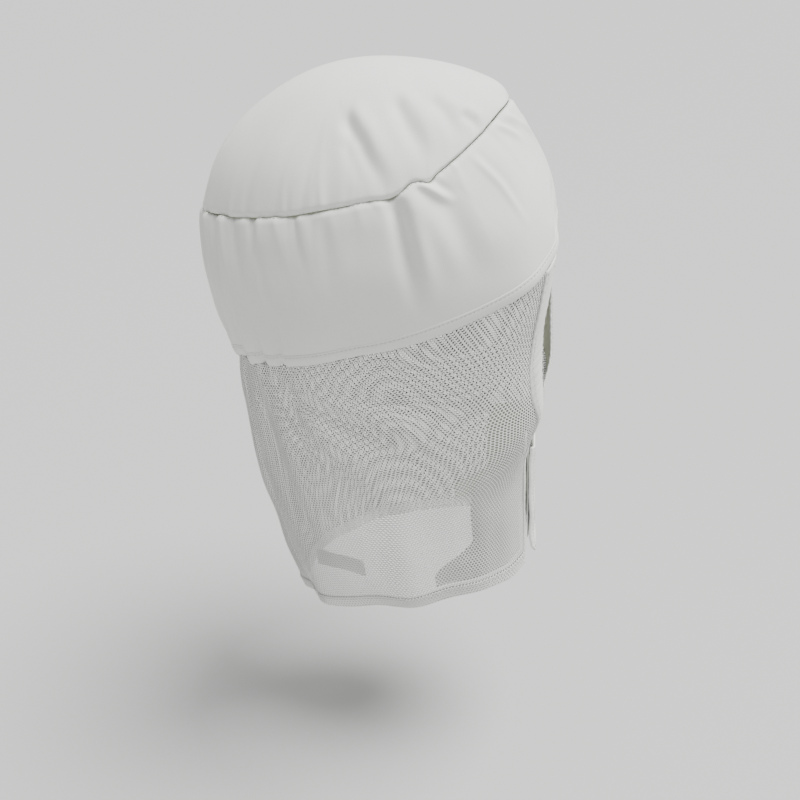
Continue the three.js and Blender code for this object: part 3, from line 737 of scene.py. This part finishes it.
EDGE_STRIP = 7 * MM
edge_share = 1 - EDGE_STRIP / BAND_HEIGHT
angle_grid, step_grid = np.meshgrid(around, np.linspace(0, 1, 62))
down_grid = mix(seam_share(angle_grid), edge_share + 0.01, step_grid)
band = cloth("side_band_cloth", band_cloth(angle_grid, down_grid), [poplin, reverse],
             POPLIN_WALL, ring=True)
settle(band, ["side_band"])

# %% [markdown]
# The band's lower edge is turned up and stitched over the top of the net, so it shows as a
# slightly thicker, lighter strip. Its stitches sit in a shallow channel.

# %% Turned strip along the band's edge
angle_grid, step_grid = np.meshgrid(around, np.linspace(0, 1, 12))
down_grid = mix(edge_share, 1, step_grid)
STITCH_LINE = 0.22            # share of the strip's height at which it is stitched
proud = 0.5 * MM * np.sin(np.pi * np.clip(step_grid, 0, 1)) ** 0.4
proud = proud - 0.35 * MM * bump(step_grid, STITCH_LINE, 0.07)
strip = cloth("band_edge_strip", band_cloth(angle_grid, down_grid) + proud[..., None]
              * normals_of(band_point, angle_grid, down_grid), [poplin, reverse], 1.1 * MM, ring=True)
settle(strip, ["band_edge_binding"])


def ring_line(surface, normal_of, share, inset):
    """A closed line round a surface at a share of its height, with the normals along it."""
    at = np.linspace(0, 360, 2 * ROUND)
    level = share(at) if callable(share) else np.full_like(at, share)
    return surface(at, level, inset), normals_of(normal_of, at, level)


seam_line, seam_up = ring_line(band_cloth, band_point, lambda a: seam_share(a) + 0.006, 0.1 * MM)
seam_stitches = stitches("crown_seam_stitches", seam_line, seam_up, width=0.5 * MM)
settle(seam_stitches, ["crown_seam_thread"])
strip_line, strip_up = ring_line(band_cloth, band_point, mix(edge_share, 1, STITCH_LINE),
                                 -0.1 * MM)
strip_stitches = stitches("band_edge_stitches", strip_line, strip_up, width=0.45 * MM)
settle(strip_stitches, [])

# %% [markdown]
# ## Inside the band
# A tape covers the raw edges of the crown seam, a soft sweatband lines the brow, and at the nape
# a casing holds the elastic. Each follows the band's own folds, one to two millimetres inside it,
# and has fine ruffles of its own. Strips cut from the band's surface can't pass through it.

# %% Inner tapes
def inner_strip(name, start, end, columns, top, low, rows, inset, materials, wall, ruffle):
    """A strip inside the band between two angles and two heights. ruffle is the height of the
    small waves that gathered tape has."""
    turn = np.linspace(start, end, columns, endpoint=end - start < 360)
    angle, step = np.meshgrid(turn, np.linspace(0, 1, rows))
    down = mix(top, low, step)
    waves_in = ruffle * np.sin(np.radians(angle * 58)) * np.sin(np.pi * step) ** 0.5
    points = band_cloth(angle, down, inset)
    points -= normals_of(band_point, angle, down) * np.abs(waves_in)[..., None]
    return cloth(name, points, materials, wall, ring=end - start >= 360)


share_of = lambda metres: metres / BAND_HEIGHT
seam_tape = inner_strip("crown_seam_tape", 0, 360, ROUND, 0.075, 0.075 + share_of(9 * MM), 10,
                        0.9 * MM, [lining], 0.5 * MM, 0.25 * MM)
settle(seam_tape, ["crown_seam_binding"])
brow_low = 1 - share_of(1 * MM)
sweatband = inner_strip("brow_sweatband_cloth", -60, 60, 220, brow_low - share_of(28 * MM), brow_low,
                        26, 1.2 * MM, [lining], 1.1 * MM, 0.12 * MM)
settle(sweatband, ["brow_sweatband"])
casing_mid = 1 - share_of(8 * MM)
elastic_tape = inner_strip("nape_elastic_tape", 142, 218, 160, casing_mid - share_of(4 * MM),
                           casing_mid + share_of(4 * MM), 9, 1.0 * MM, [elastic], 0.7 * MM, 0.15 * MM)
settle(elastic_tape, ["nape_elastic"])
casing = inner_strip("nape_casing_cloth", 138, 222, 240, casing_mid - share_of(7 * MM),
                     casing_mid + share_of(7 * MM), 12, 2.2 * MM, [lining], 0.6 * MM, 0.8 * MM)
settle(casing, ["nape_casing"])

# %% [markdown]
# ## The net shawl
# The net hangs from the band like a curtain. The elastic pinches it at the nape, and from there
# long folds run down and forwards. Below the cheek it falls almost free, and its hem waves a
# little. The same heights are used for everything that is sewn to it.

# %% Net folds
SHAWL_HEIGHT = 0.215
NET_CREASES = [
    ([(128, 0.00), (119, 0.08), (95, 0.25), (71, 0.48)], 6.5 * MM, -4.2 * MM, 0.5),
    ([(131, 0.00), (120, 0.16), (100, 0.45), (84, 0.75)], 7.0 * MM, -3.6 * MM, 0.5),
    ([(122, 0.00), (105, 0.10), (82, 0.20), (62, 0.30)], 5.5 * MM, -1.6 * MM, 0.5),
    ([(138, 0.00), (132, 0.30), (124, 0.62), (118, 0.95)], 7.5 * MM, -2.4 * MM, 0.5),
    ([(147, 0.00), (148, 0.35), (150, 0.80)], 6.0 * MM, -2.0 * MM, 0.5),
    ([(20, 0.10), (31, 0.19), (40, 0.28), (46, 0.42)], 4.5 * MM, -2.4 * MM, 0.5),
    ([(24, 0.44), (30, 0.50), (38, 0.57), (46, 0.66)], 4.5 * MM, -2.2 * MM, 0.5),
    ([(62, 0.55), (60, 0.75), (62, 1.0)], 7.0 * MM, -1.6 * MM, 0.4),
    ([(92, 0.62), (94, 1.05)], 8.0 * MM, -2.2 * MM, 0.5),
    ([(-128, 0.00), (-112, 0.16), (-88, 0.40), (-70, 0.62)], 7.0 * MM, -2.8 * MM, 0.5),
    ([(-138, 0.00), (-130, 0.30), (-118, 0.75)], 7.5 * MM, -2.5 * MM, 0.5),
    ([(-150, 0.00), (-150, 0.45), (-148, 0.95)], 7.0 * MM, -2.2 * MM, 0.5),
    ([(-20, 0.12), (-32, 0.22), (-44, 0.36)], 4.5 * MM, -2.2 * MM, 0.5),
    ([(-62, 0.55), (-64, 1.0)], 8.0 * MM, -2.0 * MM, 0.4),
    ([(170, 0.00), (170, 0.5), (166, 1.0)], 6.5 * MM, -2.0 * MM, 0.5),
    ([(-170, 0.00), (-172, 0.45), (-168, 0.9)], 6.5 * MM, -2.2 * MM, 0.5),
]


def shawl_height(angle, down):
    """Height of the net over its smooth shape. It is nothing at the band and at the two front
    edges, where the net is held."""
    side = np.abs(turned(angle))
    away = down * SHAWL_HEIGHT
    pinch = smooth(side, 100, 140)
    height = creases(angle, down, SHAWL_HEIGHT, NET_CREASES)
    height = height + pinch * gathers(angle, away, 58, 11, 2.6 * MM, 1.6 * MM, 22 * MM)
    height = height + 0.3 * gathers(angle, away, 120, 12, 1.6 * MM, 1.0 * MM, 5 * MM)
    flutes = np.sin(np.radians(9 * angle + 30)) + 0.6 * np.sin(np.radians(14 * angle - 50))
    height = height + 1.3 * MM * flutes * smooth(down, 0.45, 1)
    height = height + 0.7 * MM * softness(angle, down, SHAWL_HEIGHT, 13, 55 * MM)
    held = smooth(side, 26, 48) * smooth(down, -0.01, 0.05)
    return height * held


def shawl_cloth(angle, down, inset=0.0):
    """The shawl with its folds, moved inwards by inset."""
    shape = shawl_point(angle, down)
    lift = shawl_height(angle, down) - inset
    return shape + normals_of(shawl_point, angle, down) * lift[..., None]


# %% [markdown]
# The net doesn't close round the face. Its two front edges stand wide apart beside the face and
# draw together below the chin, where the plackets take over. One function gives the half width
# of that opening at each level, and everything that borders it reads the same function.

# %% The open front
PLACKET_SEAM_X, FACE_HALF = 27 * MM, 50 * MM
CHIN_TOP_Z, PLACKET_TOP_Z = -0.172, -0.240
SEAM_GAP = 0.8 * MM


def front_half(down):
    """Half width of the open front at a level: wide beside the face, narrow below the chin."""
    z = shawl_point(np.full_like(down, 30.0), down)[..., 2]
    return mix(PLACKET_SEAM_X, FACE_HALF, smooth(z, PLACKET_TOP_Z, CHIN_TOP_Z))


def front_angle(half, down):
    """Angle at which a level of the shawl reaches a half width."""
    power = mix(BAND_EDGE["power"], HEM_POWER, down)
    wide = mix(BAND_EDGE["half"], HEM_HALF, down)
    return np.degrees(np.arcsin(np.clip(half / wide, 0, 1) ** (power / 2)))


print("half width of the opening:", round(FACE_HALF / MM), "mm beside the face,",
      round(PLACKET_SEAM_X / MM), "mm below the chin")

# %% [markdown]
# The net is laid out as three gores, joined where the nape gathers end. Each gore gets its own
# share of detail that way, and the joins fall where the pleats hide them.

# %% Three gores of net
HEM_STRIP = 9 * MM
hem_share = 1 - HEM_STRIP / SHAWL_HEIGHT
NET_WALL = 0.28 * MM
GORE_JOIN = 150.0


def gore(name, start, end, columns, rows=150):
    """Net between two edges. An edge is an angle, or "right" or "left" for a front edge."""
    across, down = np.meshgrid(np.linspace(0, 1, columns), np.linspace(0, hem_share + 0.004, rows))
    right_edge = front_angle(front_half(down) + 0.25 * SEAM_GAP, down)
    left_edge = 360 - front_angle(front_half(down) + SEAM_GAP, down)
    edge = lambda which: {"right": right_edge, "left": left_edge}.get(which, which)
    angle = mix(edge(start), edge(end), across)
    points = shawl_cloth(angle, down, 0.3 * MM)
    mean_width = np.linalg.norm(np.diff(points, axis=1), axis=-1).sum(1).mean()
    uv = np.stack([across * mean_width, down * SHAWL_HEIGHT], -1)
    return cloth(name, points, [net, net_inside], NET_WALL, uv=uv)


right_net = gore("shawl_net_right", "right", GORE_JOIN, 165)
settle(right_net, ["shawl_net"])
nape_net = gore("shawl_net_nape", GORE_JOIN, 360 - GORE_JOIN, 110)
settle(nape_net, ["shawl_net"])
left_net = gore("shawl_net_left", 360 - GORE_JOIN, "left", 165)
settle(left_net, ["shawl_net"])

# %% [markdown]
# The hem is the net turned up on itself. Two layers of holes rarely line up, so a hem looks much
# denser than the net. It is made as the real one is: one strip that goes down the outside, round
# the fold and up the inside.

# %% Folded hem of the net
def folded_hem(name):
    """The strip's path across its width: down outside, round a half circle, up inside."""
    turn = np.linspace(0, math.pi, 7)[1:-1]
    fold = 0.6 * MM
    drop = np.concatenate([np.linspace(hem_share, 1, 10), 1 + np.sin(turn) * fold / SHAWL_HEIGHT,
                           np.linspace(1, hem_share, 10)])
    inset = np.concatenate([np.full(10, -0.3 * MM), -0.3 * MM + fold * (1 - np.cos(turn)),
                            np.full(10, -0.3 * MM + 2 * fold)])
    across = np.linspace(0, 1, 430)
    step, down = np.meshgrid(across, drop)
    sunk = np.meshgrid(across, inset)[1]
    front = front_angle(front_half(down) + SEAM_GAP, down)
    angle = mix(front, 360 - front, step)
    points = shawl_cloth(angle, np.minimum(down, 1), 0.0)
    normal = normals_of(shawl_point, angle, np.minimum(down, 1))
    points = points - normal * sunk[..., None]
    points[..., 2] -= np.maximum(down - 1, 0) * SHAWL_HEIGHT
    return cloth(name, points, [net], NET_WALL, outward=None)


hem = folded_hem("shawl_hem_fold")
settle(hem, ["shawl_hem"])
at = np.linspace(front_angle(PLACKET_SEAM_X, 0.97) + 2, 358 - front_angle(PLACKET_SEAM_X, 0.97), 700)
level = np.full_like(at, mix(hem_share, 1, 0.2))
hem_stitches = stitches("shawl_hem_stitches", shawl_cloth(at, level, -0.5 * MM),
                        normals_of(shawl_point, at, level), width=0.5 * MM, pitch=3 * MM)
settle(hem_stitches, [])

# %% [markdown]
# ## The face opening
# A folded tape of poplin runs down each side of the face from the band to the closure. It is
# stitched through all its layers, and the stitches pull tiny puckers into it.

# %% Face bindings
BINDING_WIDTH = 11 * MM


def front_share(z):
    """Share of the way down the shawl's front at which it reaches a height."""
    top, low = (shawl_point(np.array(30.0), np.array(end))[2] for end in (0.0, 1.0))
    return float((z - top) / (low - top))


placket_down = front_share(PLACKET_TOP_Z)


def face_side(side, half, down, inset):
    """Point of the shawl at a half width on one side of the front."""
    angle = front_angle(half, down)
    angle = 360 - angle if side > 0 else angle
    return shawl_cloth(angle, down, inset), normals_of(shawl_point, angle, down)


def binding_half(down, across):
    """Half width of the open front on a binding: it starts outside the net's edge, where it
    covers the seam, and runs BINDING_WIDTH towards the face."""
    return front_half(down) + 1.4 * SEAM_GAP - (BINDING_WIDTH + 0.9 * SEAM_GAP) * across


def binding(name, side, node):
    """A tape from the net's edge towards the face: rounded across, puckered along."""
    across, down = np.meshgrid(np.linspace(0, 1, 16), np.linspace(0.002, placket_down, 130))
    run = down * SHAWL_HEIGHT
    round_edge = 0.5 * MM * (1 - (2 * across - 1) ** 8)
    channel = 0.22 * MM * (bump(across, 0.16, 0.05) + bump(across, 0.86, 0.05))
    pucker = 0.16 * MM * np.sin(2 * math.pi * run / (5.2 * MM) + 5 * across)
    pucker = pucker + 0.5 * MM * np.sin(run * 70)
    points, normal = face_side(side, binding_half(down, across), down, 0.0)
    points = points + normal * (0.3 * MM + round_edge - channel + pucker)[..., None]
    piece = cloth(name, points, [poplin, reverse], 1.3 * MM)
    settle(piece, [node])
    for number, share in enumerate((0.16, 0.86)):
        level = np.linspace(0.01, placket_down - 0.01, 220)
        line, up = face_side(side, binding_half(level, share), level, -0.75 * MM)
        row = stitches(f"{name}_stitches_{number + 1}", line, up, width=0.42 * MM)
        settle(row, [])


binding("right_face_tape", -1, "right_face_binding")
binding("left_face_tape", 1, "left_face_binding")


# %% [markdown]
# Inside the net, behind each front edge, a facing of opaque cloth stops the closure from pulling
# the net out of shape. It can be made out through the holes.

# %% Front facings
FACING_TOP_Z = -0.226


def facing(name, side, node):
    """Cloth inside the net from its front edge back, wider along its foot."""
    across, step = np.meshgrid(np.linspace(0, 1, 60), np.linspace(0, 1, 70))
    down = mix(front_share(FACING_TOP_Z), hem_share - 0.006, step)
    start = front_angle(front_half(down) + 2 * SEAM_GAP, down)
    end = mix(58, 76, smooth(step, 0.6, 0.9))
    angle = mix(start, end, across)
    angle = 360 - angle if side > 0 else angle
    hang = 0.5 * MM * np.sin(across * 9 + step * 3) * across
    inset = 2.6 * MM + np.abs(hang)
    points = shawl_cloth(angle, down, 0.0) - normals_of(shawl_point, angle, down) * inset[..., None]
    piece = cloth(name, points, [poplin, lining], 0.5 * MM)
    settle(piece, [node])


facing("right_front_facing_cloth", -1, "right_front_facing")
facing("left_front_facing_cloth", 1, "left_front_facing")

# %% [markdown]
# ## The closure
# Two plackets of doubled poplin lap under the chin. The right one carries the loop tape on its
# outside and the left one the hook tape on its inside. The left placket swings open, so it and
# its tape move with the closing flap.

# %% The plackets' plane and shape
mount = [m for m in frame["record"]["mounts"] if m["name"] == "placket_front"][0]
hinge = [j for j in frame["joints"] if j["name"] == "placket_hinge"][0]
OUT = np.array(mount["axis"])
UP = np.array(hinge["axis"])
ACROSS = np.cross(UP, OUT)
ACROSS = ACROSS if ACROSS[0] > 0 else -ACROSS
FACE_POINT = np.array(mount["pos_m"])
print("plackets face", OUT.round(3), "and stand along", UP.round(3))


def flat_box(node):
    """A flat node's ranges across, up and out in the plackets' plane, measured from its mesh."""
    corners = np.array([v.co for v in frame["nodes"][node].data.vertices]) - FACE_POINT
    return [(float((corners @ way).min()), float((corners @ way).max())) for way in (ACROSS, UP, OUT)]


def flat_piece(name, node, columns, rows, corner, relief, materials, wall):
    """A flat cloth in the plackets' plane with its two lower corners rounded. relief(x, y) is
    its height in metres at x from its left edge and y down from its top."""
    (x0, x1), (y0, y1), (z0, z1) = flat_box(node)
    x, y = np.meshgrid(np.linspace(0, x1 - x0, columns), np.linspace(0, y1 - y0, rows))
    wide, tall = x1 - x0, y1 - y0
    low = np.clip(y - (tall - corner), 0, corner)
    pull = corner - np.sqrt(np.maximum(corner ** 2 - low ** 2, 0))
    shifted = pull + x * (wide - 2 * pull) / wide
    height = z1 + relief(shifted, y)
    points = (FACE_POINT + (x0 + shifted)[..., None] * ACROSS + (y1 - y)[..., None] * UP
              + height[..., None] * OUT)
    uv = np.stack([x, y], -1)
    piece = cloth(name, points, materials, wall, uv=uv, outward=OUT)
    return piece, (wide, tall)


TOPSTITCH_INSET = 2.5 * MM
FLARE_FROM, FLARE_TO = 62 * MM, 84 * MM      # how far down the lower end begins to stand away
LOOSE_FROM, LOOSE_TO = 5 * MM, 20 * MM       # how far from the seam the cloth is free to wave
CURL_WIDTH = 2.2 * MM
LEFT_SEAM_X = 39 * MM                        # the left placket is sewn along its far edge


def placket_relief(flare, curl, seam, seed):
    """Soft waves, puckers along the stitching, a lower end that stands away a little, and a
    left edge that curls over. The cloth is flat beside the seam, which lies at x = seam."""
    def relief(x, y):
        waves_down = 0.35 * MM * np.sin(y * 110 + seed) + 0.25 * MM * np.sin(y * 230 + x * 60 + seed)
        puckers = 0.10 * MM * np.sin(2 * math.pi * y / (5 * MM) + seed)
        end = flare * smooth(y, FLARE_FROM, FLARE_TO) ** 1.5
        loose = smooth(np.abs(x - seam), LOOSE_FROM, LOOSE_TO)
        return (waves_down + end) * loose + puckers - curl * (1 - smooth(x, 0, CURL_WIDTH))
    return relief


def topstitch(name, node, relief, body, sides):
    """Stitches parallel to a placket's edges, on its outer face."""
    (x0, x1), (y0, y1), (z0, z1) = flat_box(node)
    wide, tall = x1 - x0, y1 - y0
    for number, at_x in enumerate(sides):
        y = np.linspace(3 * MM, tall - 4 * MM, 160)
        x = np.full_like(y, at_x if at_x > 0 else wide + at_x)
        line = (FACE_POINT + (x0 + x)[:, None] * ACROSS + (y1 - y)[:, None] * UP
                + (z1 + relief(x, y) + 0.05 * MM)[:, None] * OUT)
        row = stitches(f"{name}_stitches_{number + 1}", line, np.broadcast_to(OUT, line.shape),
                       width=0.45 * MM)
        settle(row, [], body=body)


# %% [markdown]
# Both plackets are the same doubled strip. Only the free one flares at its lower end and curls
# over at its edge, and beside the seam it stays flat, so that it can fold back on the net.

# %% Right and left placket
right_relief = placket_relief(-1.2 * MM, 0.0, 0.0, 0.4)
left_relief = placket_relief(2.0 * MM, 2.3 * MM, LEFT_SEAM_X, 1.9)
right_flap, (wide, tall) = flat_piece("right_placket_cloth", "right_placket", 34, 110, 6 * MM,
                                      right_relief, [poplin, reverse], 1.2 * MM)
settle(right_flap, ["right_placket"])
topstitch("right_placket", "right_placket", right_relief, "hood", (TOPSTITCH_INSET, -TOPSTITCH_INSET))
left_flap, (wide, tall) = flat_piece("left_placket_cloth", "left_placket", 34, 110, 6 * MM,
                                     left_relief, [poplin, reverse], 1.2 * MM)
settle(left_flap, ["left_placket"],
       body="closing_flap")
topstitch("left_placket", "left_placket", left_relief, "closing_flap",
          (TOPSTITCH_INSET, -TOPSTITCH_INSET))


# %% [markdown]
# Hook tape is a field of tiny nylon crooks and loop tape a field of soft loops. Each is one
# small bent tube, repeated some hundred times on a woven ground.

# %% Tapes with their hooks and loops
def tape(name, node, ground, crook, outwards, body, pitch, seed):
    """A woven ground and a field of small bent tubes on one of its faces."""
    base, (wide, tall) = flat_piece(name, node, 16, 60, 1.5 * MM,
                                    lambda x, y: 0.1 * MM * np.sin(y * 160), [ground], 0.6 * MM)
    if outwards < 0:
        base.modifiers[0].offset = -1
    settle(base, [node], body=body)
    (x0, x1), (y0, y1), (z0, z1) = flat_box(node)
    rng = np.random.default_rng(seed)
    x, y = np.meshgrid(np.arange(1.5 * MM, wide - 1 * MM, pitch),
                       np.arange(1.5 * MM, tall - 1 * MM, pitch))
    x = x.ravel() + rng.uniform(-0.2, 0.2, x.size) * pitch
    y = y.ravel() + rng.uniform(-0.2, 0.2, y.size) * pitch
    face = z1 if outwards > 0 else z0 + 0.55 * MM
    places = (FACE_POINT + (x0 + x)[:, None] * ACROSS + (y1 - y)[:, None] * UP + face * OUT)
    spin = rng.uniform(-0.5, 0.5, x.size) + np.where(rng.random(x.size) < 0.5, 0, math.pi)
    along = np.cos(spin)[:, None] * UP + np.sin(spin)[:, None] * ACROSS
    up = np.broadcast_to(OUT * outwards, along.shape)
    shape, faces = crook
    field = strew(f"{name}_{'loops' if outwards > 0 else 'hooks'}", shape, faces, places, along,
                  np.cross(up, along), up, ground)
    settle(field, [], body=body)


arc = np.linspace(0, math.pi * 1.25, 6)
hook_line = np.stack([0.28 * MM * (1 - np.cos(arc)), 0 * arc, 0.28 * MM * np.sin(arc)], -1)
hook_shape = tube(hook_line, np.full(6, 0.10 * MM), 4)
loop_arc = np.linspace(0, math.pi, 7)
loop_line = np.stack([0.5 * MM * np.cos(loop_arc), 0 * loop_arc, 0.45 * MM * np.sin(loop_arc)], -1)
loop_shape = tube(loop_line, np.full(7, 0.08 * MM), 4)
tape("loop_tape_ground", "loop_tape", pile, loop_shape, 1, "hood", 1.15 * MM, 21)
tape("hook_tape_ground", "hook_tape", hooks, hook_shape, -1, "closing_flap",
     1.3 * MM, 22)

# %% [markdown]
# ## The label
# A blank satin label hangs inside the net near the hem. It is sewn only along its top edge, so
# it curls a little and can flip up about that edge.

# %% Blank label
label_joint = [j for j in frame["joints"] if j["name"] == "label_hinge"][0]
top_middle = np.array(label_joint["pos_m"])
label_along = np.array(label_joint["axis"])
label_low, label_high = (np.array(c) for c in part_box("care_label"))
to_centre = (label_low + label_high) / 2 - top_middle
LABEL_HEIGHT = 2 * float(np.linalg.norm(to_centre))
label_down = to_centre / np.linalg.norm(to_centre)
label_out = np.cross(label_along, label_down)
label_out *= np.sign(label_out @ (top_middle - INSIDE))
corners = np.array([v.co for v in frame["nodes"]["care_label"].data.vertices]) @ label_along
LABEL_LENGTH = float(corners.max() - corners.min())
x, y = np.meshgrid(np.linspace(-0.5, 0.5, 40) * LABEL_LENGTH, np.linspace(0, 1, 18) * LABEL_HEIGHT)
curl = 1.6 * MM * (y / LABEL_HEIGHT) ** 2 * (0.6 + 0.4 * np.cos(x * 120)) + 0.2 * MM * np.sin(x * 300)
points = (top_middle + x[..., None] * label_along + y[..., None] * label_down
          + (0.1 * MM - curl)[..., None] * label_out)
label = cloth("care_label_satin", points, [satin], 0.25 * MM, outward=label_out)
settle(label, ["care_label"], body="label")
print("label", round(LABEL_LENGTH / MM, 1), "x", round(LABEL_HEIGHT / MM, 1), "mm")

# %% [markdown]
# ## Stage, light and camera
# The hood is shown over a pale table top. The top is very large, so that its edge stays out of
# sight when the camera looks down, and a little speckled, so that it isn't one flat colour.

# %% Floor
FLOOR_DROP = 0.124            # room under the hood for the neck of a display stand
bpy.ops.mesh.primitive_grid_add(size=400, x_subdivisions=8, y_subdivisions=8,
                                location=(0, 0, cad_lowest[2] - FLOOR_DROP))
floor = bpy.context.object
floor.name = "pale_table_top"
made = bpy.data.materials.new("matt laminate table top, pale grey")
made.use_nodes = True
paper = made.node_tree
speckle = add_node(paper, "ShaderNodeTexNoise", {"Scale": 3.0, "Detail": 4}).outputs[0]
tint = add_node(paper, "ShaderNodeMix", {0: speckle, 6: linear("#B0B1AF"), 7: linear("#B6B7B6")},
                data_type="RGBA").outputs[2]
paper.links.new(tint, paper.nodes["Principled BSDF"].inputs["Base Color"])
paper.nodes["Principled BSDF"].inputs["Roughness"].default_value = 0.75
floor.data.materials.append(made)
print("table top", FLOOR_DROP / MM, "mm under the hem")

# %% [markdown]
# White cloth shows its folds only where light falls off gently, so there are two lights: a pale
# surround for the shaded sides, and one broad source high over the face. Its wide angle keeps
# the shadow's edge soft. A small lamp would burn out the crown and cut hard lines in the net.

# %% Light
world = bpy.data.worlds.new("soft room")
world.use_nodes = True
world.node_tree.nodes["Background"].inputs[0].default_value = (1.0, 1.0, 0.995, 1)
world.node_tree.nodes["Background"].inputs[1].default_value = 0.48
bpy.context.scene.world = world

key = bpy.data.lights.new("broad light from above and the face", "SUN")
key.energy = 7.6
key.angle = math.radians(35)
lamp = bpy.data.objects.new("key_from_above_and_the_face", key)
lamp.rotation_euler = Vector((0.0, 0.34, -0.90)).to_track_quat("-Z", "Y").to_euler()
bpy.context.scene.collection.objects.link(lamp)
print("surround", world.node_tree.nodes["Background"].inputs[1].default_value, "key", key.energy)

# %% [markdown]
# The camera looks down at the wearer's right ear from just in front of it. Its place is given
# as a direction round the hood, a level distance and a height, which are easy to reason about.

# %% Camera
VIEW = math.radians(280)
REACH, HEIGHT = 0.524, 0.040
PITCH, SIDE_TURN = math.radians(26), math.radians(1.0658)
back = Vector((math.sin(VIEW), -math.cos(VIEW), 0))
right = Vector((math.cos(VIEW), math.sin(VIEW), 0))
level_look = -back * math.cos(SIDE_TURN) + right * math.sin(SIDE_TURN)
look = level_look * math.cos(PITCH) + Vector((0, 0, -math.sin(PITCH)))
lens = bpy.data.cameras.new("view over the wearer's right ear")
lens.sensor_width = 36
lens.lens = 38.7
camera = bpy.data.objects.new("camera", lens)
camera.location = back * REACH + Vector((0, 0, HEIGHT))
camera.rotation_euler = look.to_track_quat("-Z", "Y").to_euler()
bpy.context.scene.collection.objects.link(camera)
bpy.context.scene.camera = camera
print("camera at", [round(v, 3) for v in camera.location], "lens", lens.lens)
